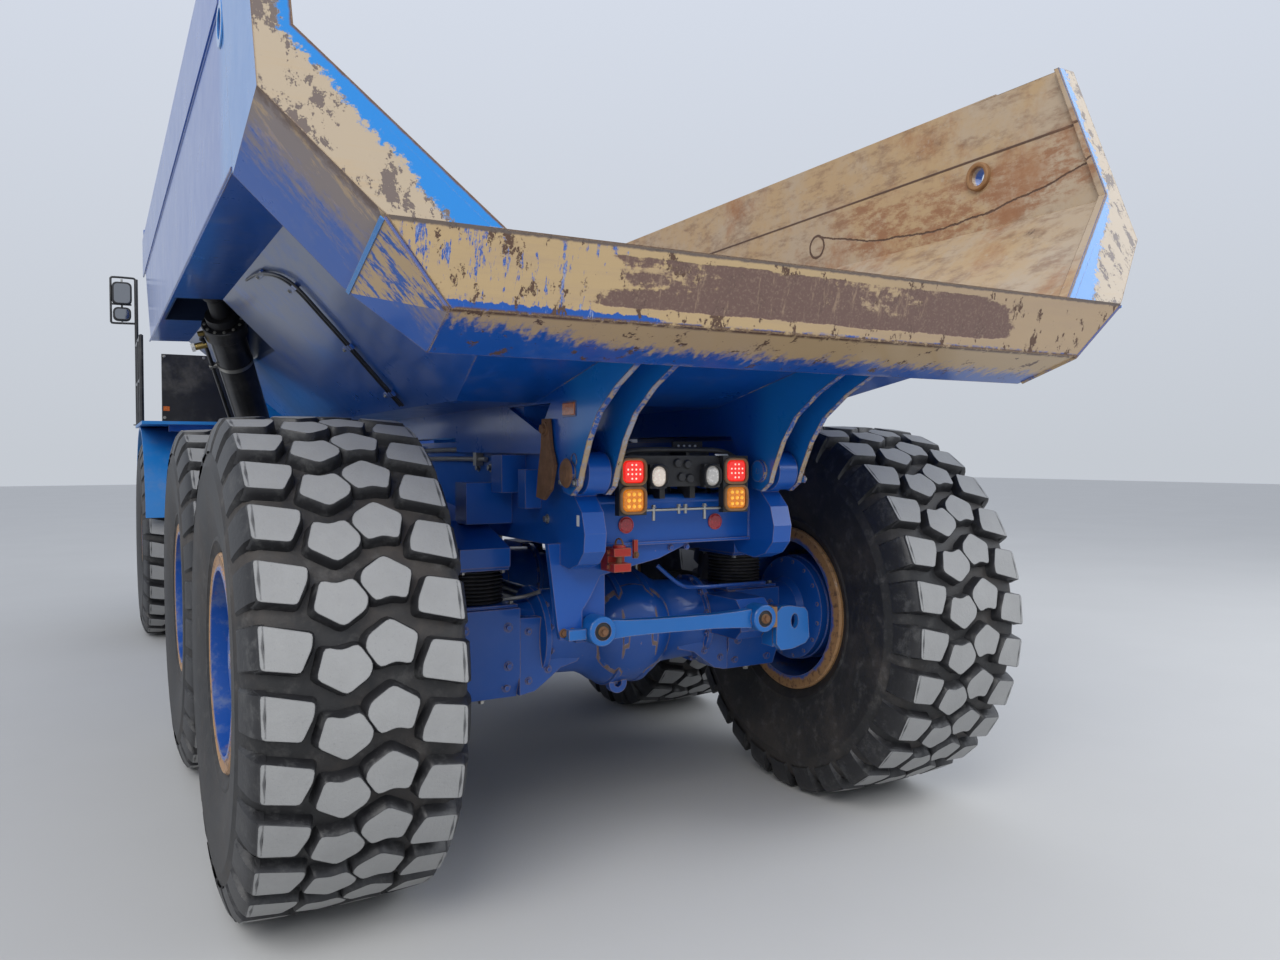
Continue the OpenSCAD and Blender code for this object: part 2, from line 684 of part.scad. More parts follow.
module cab_interior() color(black) from_rear() {
    inner_floor = cab_floor + cab_wall;
    slab(-260, 260, cab_back + 350, cab_back + 800, inner_floor, inner_floor + 420);
    slab(-260, 260, cab_back + 250, cab_back + 400, inner_floor + 200, inner_floor + 1050);
    slab(-cab_half + cab_wall + 80, cab_half - cab_wall - 10, cab_front - 330, cab_front - cab_wall - 10,
        inner_floor, inner_floor + 600);
    bar([0, cab_front - 300, inner_floor + 500], [0, cab_front - 560, inner_floor + 760], 35);
    translate([0, cab_front - 560, inner_floor + 760]) aim([0, -1, 1]) difference() {
        cylinder(r = 215, h = 34);
        translate([0, 0, -1]) cylinder(r = 180, h = 36);
    }
    translate([0, cab_front - 560, inner_floor + 760]) aim([0, -1, 1]) slab(-190, 190, -20, 20, -6, 24);
}

module cab_door() color([0.1, 0.4, 0.8]) from_rear() difference() {
    union() {
        slab(-cab_half, -cab_half + cab_wall, door_y0 + door_gap, door_y1 - door_gap, door_z0 + door_gap,
            head_z - door_gap);
        for (z = door_hinge_zs) translate([door_pin_x, door_pin_y, z + 61]) {
            cylinder(r = 20, h = 58);
            slab(0, -door_pin_x - cab_half, 0, 110, 0, 58);
        }
        // Handle
        slab(-cab_half - 30, -cab_half - 18, door_y1 - 70, door_y1 - 45, door_z0 + 330, door_z0 + 480);
        for (z = [door_z0 + 330, door_z0 + 455]) slab(-cab_half - 19, -cab_half + 1, door_y1 - 70,
            door_y1 - 45, z, z + 25);
    }
    for (z = door_hinge_zs) translate([door_pin_x, door_pin_y, z]) cylinder(r = 8 + run_clear, h = 140);
    slab(-cab_half - 1, -cab_half + cab_wall + 1, door_y0 + 90, door_y1 - 90, cab_floor + 500,
        head_z - 90);
}
module door_glass() color([0.4, 0.5, 0.55, 0.4]) from_rear()
    slab(-cab_half + 16, -cab_half + 16 + glass_t, door_y0 + 90, door_y1 - 90, cab_floor + 500,
        head_z - 90);

// Hood and nose

hood_back = cab_front + 60;
hood_front = nose_y - 230;
hood_bot = 1520;
hood_pin_y = nose_y - 280;
hood_pin_z = 1440;
hood_pin_r = 22;
hood_ear_x = 480;
mouth_half = hood_half - 110;
mouth_z0 = hood_bot + 80;
mouth_z1 = hood_front_z - 160;

module hood_outline(grow) side_plate([[hood_back - 1.5 * grow, hood_bot - 2 * grow],
    [hood_front + grow, hood_bot - 2 * grow], [hood_front + grow, hood_front_z - 60 + grow],
    [hood_front - 120, hood_front_z + grow], [hood_back - 1.5 * grow, hood_back_z + grow]],
    -hood_half - grow, hood_half + grow);

module hood() color([0.1, 0.4, 0.8]) from_rear() {
    difference() {
        hood_outline(0);
        hood_outline(-hood_t);
        slab(-hood_half + hood_t, hood_half - hood_t, hood_back - 1, hood_front - hood_t, hood_bot - 1,
            hood_bot + 200);
        slab(-mouth_half, mouth_half, hood_front - 60, hood_front + 1, mouth_z0, mouth_z1);
    }
    both() difference() {
        slab(hood_ear_x, hood_ear_x + 40, hood_pin_y - 42, hood_front - hood_t + 1, hood_pin_z - 42,
            mouth_z0 - 10);
        disc_x(hood_ear_x - 1, hood_ear_x + 41, hood_pin_y, hood_pin_z, hood_pin_r + run_clear);
    }
}

module grille() color(black) from_rear() {
    slab(-mouth_half, mouth_half, hood_front - 20, hood_front - 12, mouth_z0, mouth_z1);
    bars = 7;
    pitch = (mouth_z1 - mouth_z0) / bars;
    for (i = [0:bars - 1]) slab(-mouth_half, mouth_half, hood_front - 12, hood_front - 2,
        mouth_z0 + (i + 0.3) * pitch, mouth_z0 + (i + 0.7) * pitch);
}

bumper_top = 1380;

module front_bumper() color(black) from_rear() {
    slab(-1250, 1250, nose_y - 150, nose_y, 1080, bumper_top);
    slab(-700, 700, nose_y - 120, nose_y - 30, 900, 1081);
}

lamp_r = 78;

module headlamps() color("white") from_rear() both()
    for (x = [880, 1080]) disc_y(x, nose_y - 100, nose_y - 20, bumper_top + lamp_r, lamp_r);

tank_x0 = 650;
tank_x1 = 920;
tank_y0 = pivot_y + 380;
tank_top = 1560;
tank_bot = 1060;

module side_tanks() color(black) from_rear() both()
    slab(tank_x0, tank_x1, tank_y0, front_y - 480, tank_bot, tank_top);

rail_post = 19;
rail_x = deck_half - rail_post - 1;

rail_ys = [cab_back + 560, cab_back + 1020, cab_back + 1480];

module access_rails() color(black) from_rear() both() {
    for (y = rail_ys) bar([rail_x, y, deck_top], [rail_x, y, deck_top + 800], rail_post);
    for (z = [400, 790])
        bar([rail_x, rail_ys[0], deck_top + z], [rail_x, rail_ys[2], deck_top + z], rail_post - 2);
}

// Panels standing on the decks' back edges, clear of the door's hinges
guard_x0 = cab_half + 80;
guard_x1 = 1560;
guard_h = 590;

module mud_guards() color(black) from_rear() both() {
    slab(guard_x0, guard_x1, cab_back + 80, cab_back + 104, deck_top, deck_top + guard_h);
    for (x = [guard_x0, (guard_x0 + guard_x1) / 2, guard_x1 - 40])
        slab(x, x + 40, cab_back + 103, cab_back + 120, deck_top, deck_top + guard_h);
}

// Steps up to the fenders, hung from the front rails
ladder_x0 = 1000;
ladder_x1 = 1450;
ladder_y0 = front_y + 1080;
ladder_depth = 160;
ladder_z0 = 450;
ladder_pitch = 320;
treads = 5;

module ladders() color(black) from_rear() both() {
    ladder_top = ladder_z0 + (treads - 1) * ladder_pitch + 60;
    ladder_y1 = ladder_y0 + ladder_depth;
    for (x = [ladder_x0, ladder_x1 - 25]) slab(x, x + 25, ladder_y0, ladder_y1, ladder_z0, ladder_top);
    for (i = [0:treads - 1]) slab(ladder_x0 + 24, ladder_x1 - 24, ladder_y0 + 10, ladder_y1 - 10,
        ladder_z0 + i * ladder_pitch, ladder_z0 + i * ladder_pitch + 30);
    for (z = [front_rail_z0 + 140, front_rail_z1 - 160])
        slab(front_rail_x1, ladder_x0 + 1, ladder_y0 + 40, ladder_y1 - 40, z, z + 60);
}

mirror_y = cab_front - 150;
mirror_x = 1840;

module mirrors() color(black) from_rear() both() {
    bar([rail_x, mirror_y, deck_top], [rail_x, mirror_y, 3500], 18);
    for (z = [3060, 3460]) bar([rail_x, mirror_y, z], [mirror_x, mirror_y, z], 12);
    slab(mirror_x - 95, mirror_x + 95, mirror_y - 45, mirror_y + 25, 3180, 3490);
    slab(mirror_x - 85, mirror_x + 85, mirror_y - 45, mirror_y + 25, 3030, 3150);
}

module exhaust() color(steel) from_rear() {
    translate([cab_half + 105, cab_front - 230, deck_top]) cylinder(r = 80, h = 700);
    translate([cab_half + 105, cab_front - 230, deck_top + 699]) cylinder(r = 55, h = 500);
}

// Steering cylinders, one pair of bodies a side

steer_len = norm([arm_x - steer_x, arm_y - steer_y]);
steer_barrel_len = 790;
steer_rod_r = 30;
steer_rod_end = steer_len - 830;

module steer_place() translate([steer_x, steer_y, hitch_z])
    rotate([0, 0, atan2(arm_x - steer_x, -(arm_y - steer_y))]) children();

// Drawn along -Y from the barrel's pin
module steer_barrel() steer_place() difference() {
    union() {
        translate([0, 0, -40]) cylinder(r = 68, h = 80);
        disc_y(0, -steer_barrel_len, -50, 0, 48);
    }
    translate([0, 0, -90]) cylinder(r = steer_pin + run_clear, h = 180);
    disc_y(0, -steer_barrel_len - 1, -90, 0, steer_rod_r + run_clear);
}
module steer_rod() steer_place() {
    disc_y(0, -steer_len + 50, -steer_rod_end, 0, steer_rod_r);
    translate([0, -steer_len, -32]) difference() {
        cylinder(r = 60, h = 64);
        translate([0, 0, -1]) cylinder(r = 34, h = 66);
    }
}
module steer_barrel_right() color(black) from_rear() steer_barrel();
module steer_rod_right() color(steel) from_rear() steer_rod();
module steer_barrel_left() color(black) from_rear() mirror([1, 0, 0]) steer_barrel();
module steer_rod_left() color(steel) from_rear() mirror([1, 0, 0]) steer_rod();

// Hoist cylinders: a barrel, a middle stage and a rod a side

hoist_base = [hoist_x, hoist_y, hoist_z];
hoist_eye = [eye_x, eye_y, eye_z];
hoist_len = norm(hoist_eye - hoist_base);
stage_r = barrel_r - 20;
rod_r = 52;
barrel_top = hoist_len - 230;

module hoist_place() translate(hoist_base) aim(hoist_eye - hoist_base) children();

module hoist_barrel() hoist_place() difference() {
    union() {
        sphere(r = ball_r);
        cylinder(r = 50, h = 140);
        translate([0, 0, 125]) cylinder(r = barrel_r, h = barrel_top - 125);
        translate([0, 0, barrel_top - 90]) cylinder(r = barrel_r + 14, h = 90);
    }
    translate([0, 0, 160]) cylinder(r = stage_r + run_clear, h = hoist_len);
}
module hoist_stage() hoist_place() difference() {
    union() {
        translate([0, 0, 170]) cylinder(r = stage_r, h = barrel_top - 170 + 12);
        translate([0, 0, barrel_top + 12]) cylinder(r = stage_r + 6, h = 45);
    }
    translate([0, 0, 190]) cylinder(r = rod_r + run_clear, h = hoist_len);
}
module hoist_rod() hoist_place() {
    translate([0, 0, 210]) cylinder(r = rod_r, h = hoist_len - 250);
    translate([0, 0, hoist_len]) sphere(r = 78);
}
module hoist_barrel_right() color(black) from_rear() hoist_barrel();
module hoist_stage_right() color(steel) from_rear() hoist_stage();
module hoist_rod_right() color(steel) from_rear() hoist_rod();
module hoist_barrel_left() color(black) from_rear() mirror([1, 0, 0]) hoist_barrel();
module hoist_stage_left() color(steel) from_rear() mirror([1, 0, 0]) hoist_stage();
module hoist_rod_left() color(steel) from_rear() mirror([1, 0, 0]) hoist_rod();

// Bed

// How far the rear rim leans forward for each unit of height
rim_lean = 0.39;
function rim_y(z) = -rear_overhang + (z - tail_z) * rim_lean;
// The inner flanks slope at 45 degrees below flank_z
flank_off = flank_z - bed_in_half;
front_lean = (wall_front - floor_front - 60) / (bed_top - floor_z);
ramp_start = -300;
hull_off = flank_off - hull_t * sqrt(2);
floor_t = 70;
tail_depth = 210;
rim_band = 25;
lip_crease = [1261, -1488, 2101];
rib_corner = [1729, -1393, 2606];

// Inside of the bed from the side
module hold_profile() side_plate([[rim_y(tail_z) - 200, tail_z], [rim_y(tail_z), tail_z],
    [ramp_start, floor_z], [floor_front, floor_z],
    [floor_front + (bed_top + 100 - floor_z) * front_lean, bed_top + 100], [-2200, bed_top + 100]],
    -bed_half, bed_half);

// Inside of the bed from behind, narrowed by inset
module hold_section(inset) {
    h = bed_in_half - inset;
    cross_plate([[-h, bed_top + 200], [-h, h + flank_off + 1.4 * inset], [0, flank_off + 1.4 * inset],
        [h, h + flank_off + 1.4 * inset], [h, bed_top + 200]], -2300, 5600);
}

module hold(inset) intersection() {
    hold_profile();
    hold_section(inset);
}

// Outside of the hull from behind
module hull_section() cross_plate([[bed_half, bed_top], [bed_half, bed_chine],
    [bed_chine + 8 - hull_off, bed_chine + 8], [0, hull_off], [hull_off - bed_chine - 8, bed_chine + 8],
    [-bed_half, bed_chine], [-bed_half, bed_top]], -1300, 5600);

module hull_profile() side_plate([[rim_y(bed_top) + 100, bed_top], [-1000, bed_chine + 100],
    [-1075, bed_chine - 330], [-1200, tail_z - tail_depth + 10], [ramp_start - 30, floor_z - floor_t], [floor_front + 40, floor_z - floor_t],
    [floor_front + 60 + (bed_top - floor_z) * front_lean, bed_top]], -bed_half, bed_half);

// Rib band, rim and lip at the tail
module tail_block() difference() {
    side_plate([[rim_y(tail_z), tail_z], [rim_y(bed_top), bed_top], [-620, bed_top], [-740, 3100],
        [-950, bed_chine], [-1055, 2207], [-1141, 2120], [-1226, 2011], [-1488, 2101]],
        -bed_half - 5, bed_half + 5);
    both() {
        beyond(lip_crease, [0.698, -0.216, -0.683]);
        beyond(rib_corner, [0.754, -0.129, -0.643]);
    }
}

well_x0 = 1235;
well_x1 = 1700;
well_y0 = eye_y - 260;
well_y1 = eye_y + 640;
well_top = flank_z - 25;
tail_bore_y = -658;
tail_bore_z = 3061;

// edge is where the plate's straight lower edge starts, behind its lobe around the pivot
module hinge_plate(edge) side_plate([[-1184, 2030], [-1017, 1955], [-881, 1868], [-800, 1771],
    [-742, 1663], [-715, 1600], [-660, 1565], [-600, 1575], [-545, 1640], edge, [650, edge[1] + 12],
    [700, floor_z - 50], [ramp_start - 20, floor_z - 40], [-1150, 2150]], -hinge_t / 2, hinge_t / 2);

module dump_body() color([0.1, 0.35, 0.8]) from_rear() difference() {
    union() {
        difference() {
            union() {
                intersection() {
                    hull_section();
                    hull_profile();
                }
                tail_block();
                // Headboard's upper strip
                slab(-bed_half, bed_half, wall_front - 60, wall_front, bed_top - 60, bed_top + 80);
            }
            hold(0);
        }
        // Rim band standing in from the flanks
        difference() {
            intersection() {
                tail_block();
                side_plate([[rim_y(tail_z) - 1, tail_z - 4], [rim_y(bed_top) - 1, bed_top + 1],
                    [rim_y(bed_top) + rim_band, bed_top + 1], [rim_y(tail_z) + rim_band, tail_z - 60]],
                    -bed_half - 5, bed_half + 5);
            }
            hold(30);
        }
        // Top rail
        both() slab(bed_half - 1, bed_half + 8, -640, wall_front - 40, bed_top - 290, bed_top);
        // Hoist wells
        both() difference() {
            slab(well_x0 - 25, bed_half - 10, well_y0 - 25, well_y1 + 25, well_x0 - 25 - hull_off - 10, flank_z);
            beyond([0, 0, hull_off], [1, 0, -1]);
        }
        // Sills on the frame, hinge plates and pivot pins
        both() {
            slab(hinge_in + hinge_t / 2, hinge_out - hinge_t / 2, -150, floor_front, rail_top + 22,
                floor_z - floor_t + 1);
            translate([hinge_in, 0, 0]) hinge_plate([-440, 1800]);
            // The outer plate has a triangular hole
            translate([hinge_out, 0, 0]) difference() {
                hinge_plate([-520, 1722]);
                side_plate([[-40, 1922], [-480, 1922], [-373, 1808]], -hinge_t, hinge_t);
            }
            disc_x(hinge_in - 30, hinge_out + 30, -tip_back, tip_z, tip_pin_r);
        }
    }
    both() {
        slab(well_x0, well_x1, well_y0, well_y1, well_x0 - 400, well_top);
        disc_x(bed_in_half - 60, bed_half + 20, tail_bore_y, tail_bore_z, 45);
        disc_x(hinge_in - 40, hinge_in - 29, -tip_back, tip_z, 10);
    }
}

module tyre_at(side, y) color(black) wheel_place(side, y) tyre_shape();
module rim_at(side, y) color(navy) wheel_place(side, y) rim_shape();

rear_frame();
center_axle();
rear_axle();
equalizer_beams();
suspension_blocks();
axle_links();
drive_shafts();
tail_lamp_bar();
tail_lenses_red();
tail_lenses_amber();
tail_lenses_clear();
tow_hitch();
hitch_head();
front_frame();
front_axle();
front_suspension();
front_drive_shaft();
engine_block();
fenders();
cab_shell();
cab_glass();
cab_interior();
cab_door();
door_glass();
hood();
grille();
front_bumper();
side_tanks();
access_rails();
mud_guards();
ladders();
mirrors();
headlamps();
exhaust();
steer_barrel_left();
steer_rod_left();
steer_barrel_right();
steer_rod_right();
dump_body();
hoist_barrel_left();
hoist_stage_left();
hoist_rod_left();
hoist_barrel_right();
hoist_stage_right();
hoist_rod_right();
tyre_at(-1, front_y);  // tyre_front_left
tyre_at(1, front_y);  // tyre_front_right
tyre_at(-1, bogie_gap);  // tyre_center_left
tyre_at(1, bogie_gap);  // tyre_center_right
tyre_at(-1, 0);  // tyre_rear_left
tyre_at(1, 0);  // tyre_rear_right
rim_at(-1, front_y);  // rim_front_left
rim_at(1, front_y);  // rim_front_right
rim_at(-1, bogie_gap);  // rim_center_left
rim_at(1, bogie_gap);  // rim_center_right
rim_at(-1, 0);  // rim_rear_left
rim_at(1, 0);  // rim_rear_right
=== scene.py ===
"""Looks of the articulated dump truck. Metres, +Y to the truck's front, +X to its right side, +Z up."""

import math
import random

import bpy
from mathutils import Matrix, Vector


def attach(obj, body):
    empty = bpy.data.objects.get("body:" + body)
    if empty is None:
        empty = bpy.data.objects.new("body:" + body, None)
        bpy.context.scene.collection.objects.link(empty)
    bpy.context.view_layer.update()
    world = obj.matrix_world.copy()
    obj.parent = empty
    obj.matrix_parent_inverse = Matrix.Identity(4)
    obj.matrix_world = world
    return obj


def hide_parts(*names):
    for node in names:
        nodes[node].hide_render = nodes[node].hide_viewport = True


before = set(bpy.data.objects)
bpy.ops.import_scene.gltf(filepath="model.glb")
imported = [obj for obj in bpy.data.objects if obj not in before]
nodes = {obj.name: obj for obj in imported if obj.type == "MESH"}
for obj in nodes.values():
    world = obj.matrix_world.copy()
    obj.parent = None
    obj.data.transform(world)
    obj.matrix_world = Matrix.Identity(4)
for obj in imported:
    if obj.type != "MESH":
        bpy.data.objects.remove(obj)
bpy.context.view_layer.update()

# Places along the truck are counted from the rear axle, as the source of the part does
REAR = -3.9
AXLES = {"rear": 0.0, "center": 1.97, "front": 6.56}
HALF_TRACK = 1.345
AXLE_Z = 0.935
TYRE_R = 0.935
RIM_R = 0.37
BEAD_X = 0.3145
PITCHES = 28
BOTH = (-1, 1)
SIDES = tuple(zip(("left", "right"), BOTH))
# The tail's rim plane: its place at the height of the tail edge, and its lean
RIM_Y, RIM_Z, RIM_LEAN = -1.55, 2.312, 0.39
# Height of the bed's inner flanks less their distance from the middle, and the same of the hull outside
FLANK_OFF, HULL_OFF = 1.14, 1.069
FLOOR_Z, WALL_X = 2.0, 1.66
TAIL_BORE_Y, TAIL_BORE_Z = -0.658, 3.061
HOIST_BASE = (0.87, 3.42, 1.18)
HOIST_EYE = (1.5, 1.9, 2.64)
STEER_EYE = (0.4, 4.94, 1.25)
# How far trim stands off the face it lies on
SKIN = 0.0003


# Shading


class Val:
    """A number in a node tree, so that masks can be written as sums."""

    def __init__(self, tree, socket):
        self.tree, self.socket = tree, socket

    def op(self, kind, *others):
        node = self.tree.nodes.new("ShaderNodeMath")
        node.operation = kind
        for i, value in enumerate((self, *others)):
            if isinstance(value, Val):
                self.tree.links.new(value.socket, node.inputs[i])
            else:
                node.inputs[i].default_value = value
        return Val(self.tree, node.outputs[0])

    def __add__(self, b):
        return self.op("ADD", b)

    def __sub__(self, b):
        return self.op("SUBTRACT", b)

    def __mul__(self, b):
        return self.op("MULTIPLY", b)

    def __neg__(self):
        return self.op("MULTIPLY", -1.0)

    def min(self, b):
        return self.op("MINIMUM", b)

    def max(self, b):
        return self.op("MAXIMUM", b)

    def abs(self):
        return self.op("ABSOLUTE")

    def inv(self):
        return self.op("MULTIPLY_ADD", -1.0, 1.0)

    def swing(self, amount):
        """A noise's swing to both sides of nought."""
        return (self - 0.5) * amount

    def step(self, lo, hi):
        """0 at lo, 1 at hi; lo may be the larger."""
        node = self.tree.nodes.new("ShaderNodeMapRange")
        node.interpolation_type = "SMOOTHSTEP"
        self.tree.links.new(self.socket, node.inputs["Value"])
        node.inputs["From Min"].default_value = lo
        node.inputs["From Max"].default_value = hi
        return Val(self.tree, node.outputs["Result"])

    def within(self, lo, hi, soft=0.01):
        return self.step(lo - soft, lo) * self.step(hi + soft, hi)


class Look:
    """One material: places, noises, edge wear and layers of colour over each other."""

    def __init__(self, name, color, rough=0.5, metal=0.0, coat=0.0, coat_rough=0.12, specular=0.5):
        self.mat = bpy.data.materials.new(name)
        self.mat.use_nodes = True
        self.tree = self.mat.node_tree
        self.tree.nodes.clear()
        self.bsdf = self.node("BsdfPrincipled", Coat_Weight=coat, Coat_Roughness=coat_rough,
                              Specular_IOR_Level=specular)
        self.node("OutputMaterial", Surface=self.bsdf.outputs[0])
        self.coords = self.node("TexCoord").outputs["Object"]
        self.x, self.y, self.z = self.split(self.coords)
        self.color, self.rough, self.metal, self.height = color, rough, metal, None

    def node(self, kind, **settings):
        """A node; names in capitals are its inputs and the others its properties."""
        node = self.tree.nodes.new("ShaderNode" + kind)
        for name, value in settings.items():
            if name[0].isupper():
                self.feed(value, node.inputs[name.replace("_", " ")])
            else:
                setattr(node, name, value)
        return node

    def feed(self, value, socket):
        """Sets a number or colour on the socket, or links what varies to it."""
        if isinstance(value, Val):
            self.tree.links.new(value.socket, socket)
        elif isinstance(value, tuple):
            socket.default_value = value if socket.type == "VECTOR" else (*value, 1.0)
        elif isinstance(value, (int, float)):
            socket.default_value = value
        else:
            self.tree.links.new(value, socket)

    def split(self, vector):
        return [Val(self.tree, s) for s in self.node("SeparateXYZ", Vector=vector).outputs]

    def noise(self, scale, detail=4.0, rough=0.6, stretch=(1, 1, 1), seed=0.0):
        move = self.node("Mapping", Vector=self.coords, Scale=stretch,
                         Location=(seed, seed * 0.7, seed * 0.3))
        node = self.node("TexNoise", Vector=move.outputs[0], Scale=scale, Detail=detail, Roughness=rough)
        return Val(self.tree, node.outputs["Fac"])

    def cells(self, scale, seed=0.0):
        move = self.node("Mapping", Vector=self.coords, Location=(seed, seed, seed))
        return Val(self.tree, self.node("TexVoronoi", Vector=move.outputs[0],
                                        Scale=scale).outputs["Distance"])

    def edges(self, radius=0.008):
        """High along the edges of the piece."""
        dot = self.node("VectorMath", operation="DOT_PRODUCT")
        self.feed(self.node("Bevel", samples=4, Radius=radius).outputs[0], dot.inputs[0])
        self.feed(self.node("NewGeometry").outputs["True Normal"], dot.inputs[1])
        return Val(self.tree, dot.outputs["Value"]).inv()

    def facing(self):
        """The face's normal as x, y, z in the part's frame."""
        turn = self.node("VectorTransform", vector_type="NORMAL", convert_from="WORLD", convert_to="OBJECT",
                         Vector=self.node("NewGeometry").outputs["True Normal"])
        return self.split(turn.outputs[0])

    def near(self, x, y, z):
        """Distance from a point given on the right side, or from its mirror image."""
        a, b, c = self.x.abs() - x, self.y - (y + REAR), self.z - z
        return (a * a + b * b + c * c).op("SQRT")

    def blend(self, mask, old, new):
        return mask * (-(old - new) if isinstance(old, Val) else new - old) + old

    def over(self, mask, color, rough=None, metal=None, height=None):
        """Lays a colour over the rest where mask is 1."""
        mix = self.node("Mix", data_type="RGBA")
        for value, name in ((mask, "Factor"), (self.color, "A"), (color, "B")):
            self.feed(value, mix.inputs[name])
        self.color = mix.outputs["Result"]
        if rough is not None:
            self.rough = self.blend(mask, self.rough, rough)
        if metal is not None:
            self.metal = self.blend(mask, self.metal, metal)
        if height is not None:
            self.bump(mask * height)

    def tone(self, mask, low, high):
        """Multiplies the colour by low where mask is 0 and by high where it is 1."""
        node = self.node("VectorMath", operation="SCALE", Scale=mask * (high - low) + low)
        self.feed(self.color, node.inputs[0])
        self.color = node.outputs[0]

    def uneven(self, noise, amount):
        """Varies the roughness."""
        self.rough = noise.swing(amount) + self.rough

    def bump(self, height):
        """Height in metres."""
        self.height = height if self.height is None else self.height + height

    def done(self):
        for value, name in ((self.color, "Base Color"), (self.rough, "Roughness"), (self.metal, "Metallic")):
            self.feed(value, self.bsdf.inputs[name])
        if self.height is not None:
            self.feed(self.node("Bump", Distance=1.0, Height=self.height).outputs[0],
                      self.bsdf.inputs["Normal"])
        return self.mat


BLUE = (0.006, 0.088, 0.4)
BRIGHT_BLUE = (0.012, 0.2, 0.56)
TAN = (0.5, 0.35, 0.19)
BRIGHT_TAN = (0.5, 0.355, 0.185)
BEIGE = (0.48, 0.4, 0.31)
ORANGE_RUST = (0.36, 0.17, 0.075)
BROWN_RUST = (0.11, 0.06, 0.038)
PURPLE_RUST = (0.165, 0.098, 0.08)
DUST = (0.3, 0.28, 0.25)
BLACK = (0.013, 0.013, 0.015)


def paint(name, color, rough=0.3, wear=0.5, dust=0.2, coat=0.6, top=1.4):
    """Paint with chipped edges down to tan primer and brown steel, and dust that thins towards top."""
    look = Look(name, color, rough=rough, coat=coat, specular=0.3)
    look.tone(look.noise(1.3, 3), 0.88, 1.1)
    fine, grime, edge = look.noise(38, 5, 0.7), look.noise(5, 6, 0.7), look.edges(0.007)
    look.uneven(grime, 0.2)
    settle = (look.z.step(top, 0.0) + 0.15) * grime.step(0.4, 0.78)
    look.over(settle * dust, DUST, rough=0.75)
    scratch = look.noise(20, 5, 0.8, stretch=(1.0, 0.3, 2.0), seed=6.0).step(
        0.62, 0.7) * grime.step(0.5, 0.65)
    look.over(scratch * (wear * 0.6), BRIGHT_BLUE, rough=0.5)
    chips = (edge * 9.0 + fine.swing(1.5) + grime.swing(1.2)).step(0.6, 0.75) * wear
    look.over(chips, TAN, rough=0.6, height=-0.0004)
    deep = (edge * 8.0 + look.noise(70, 4, 0.7, seed=3.0).swing(1.8) + (grime - 0.5)).step(1.05, 1.2) * wear
    look.over(deep, BROWN_RUST, rough=0.8)
    specks = look.cells(26, seed=2.0).step(0.1, 0.06) * grime.step(0.58, 0.68) * wear
    look.over(specks, TAN, rough=0.65)
    look.bump(look.noise(9, 2).swing(0.0008))
    return look.done()


def plain(name, color, rough=0.6, metal=0.0, vary=0.25, scale=14.0, depth=0.0006, dust=0.0, coat=0.0):
    """One stuff with its own unevenness, and dust in patches."""
    look = Look(name, color, rough=rough, metal=metal, coat=coat)
    grain = look.noise(scale, 5, 0.65)
    look.tone(grain, 1.0 - vary, 1.0 + vary)
    look.uneven(look.noise(scale * 0.6, 4, seed=4.0), 0.25)
    if dust:
        look.over(look.noise(3.5, 6, 0.7, seed=8.0).step(0.45, 0.75) * dust, DUST, rough=0.85)
    look.bump(grain.swing(depth))
    return look.done()


def rod_steel(name, eye, black_from):
    """A polished rod whose eye is black."""
    look = Look(name, (0.72, 0.73, 0.75), rough=0.13, metal=1.0)
    look.uneven(look.noise(30, 5), 0.12)
    look.over(look.near(*eye).step(black_from + 0.01, black_from), BLACK, rough=0.5, metal=0.0)
    look.over(look.noise(9, 6, 0.7).step(0.6, 0.8) * 0.25, DUST, rough=0.7)
    return look.done()


def tread_plate(name, color, spacing=0.042):
    """Paint with raised bars on its level faces."""
    look = Look(name, color, rough=0.45, coat=0.2)
    level = look.facing()[2].step(0.8, 0.9)
    wave = 2 * math.pi / spacing
    bars = ((look.x + look.y) * wave).op("SINE") * ((look.x - look.y) * wave).op("SINE")
    raised = bars.abs().step(0.55, 0.8) * level
    look.bump(raised * 0.0015)
    look.over(raised * 0.5, (0.16, 0.16, 0.17), rough=0.4, metal=0.5)
    look.over(look.noise(4, 6, 0.7).step(0.45, 0.8) * 0.3, DUST, rough=0.85)
    return look.done()


def glass():
    look = Look("cab_glass", (0.05, 0.07, 0.075), rough=0.04, specular=0.6)
    look.bsdf.inputs["Transmission Weight"].default_value = 0.85
    look.bsdf.inputs["IOR"].default_value = 1.45
    look.over(look.noise(4, 6, 0.7).step(0.5, 0.9) * 0.25, DUST, rough=0.5)
    return look.done()


def lens(name, color, glow=0.0):
    """A lamp's lens with fine ribs."""
    look = Look(name, color, rough=0.2, coat=0.8)
    points = look.cells(90)
    look.tone(points.step(0.0, 0.6), 1.15, 0.75)
    look.bump((points - 0.3) * 0.0008)
    look.over(look.noise(9, 5).step(0.6, 0.9) * 0.2, DUST, rough=0.6)
    if glow:
        look.bsdf.inputs["Emission Color"].default_value = (*color, 1.0)
        look.bsdf.inputs["Emission Strength"].default_value = glow
    return look.done()


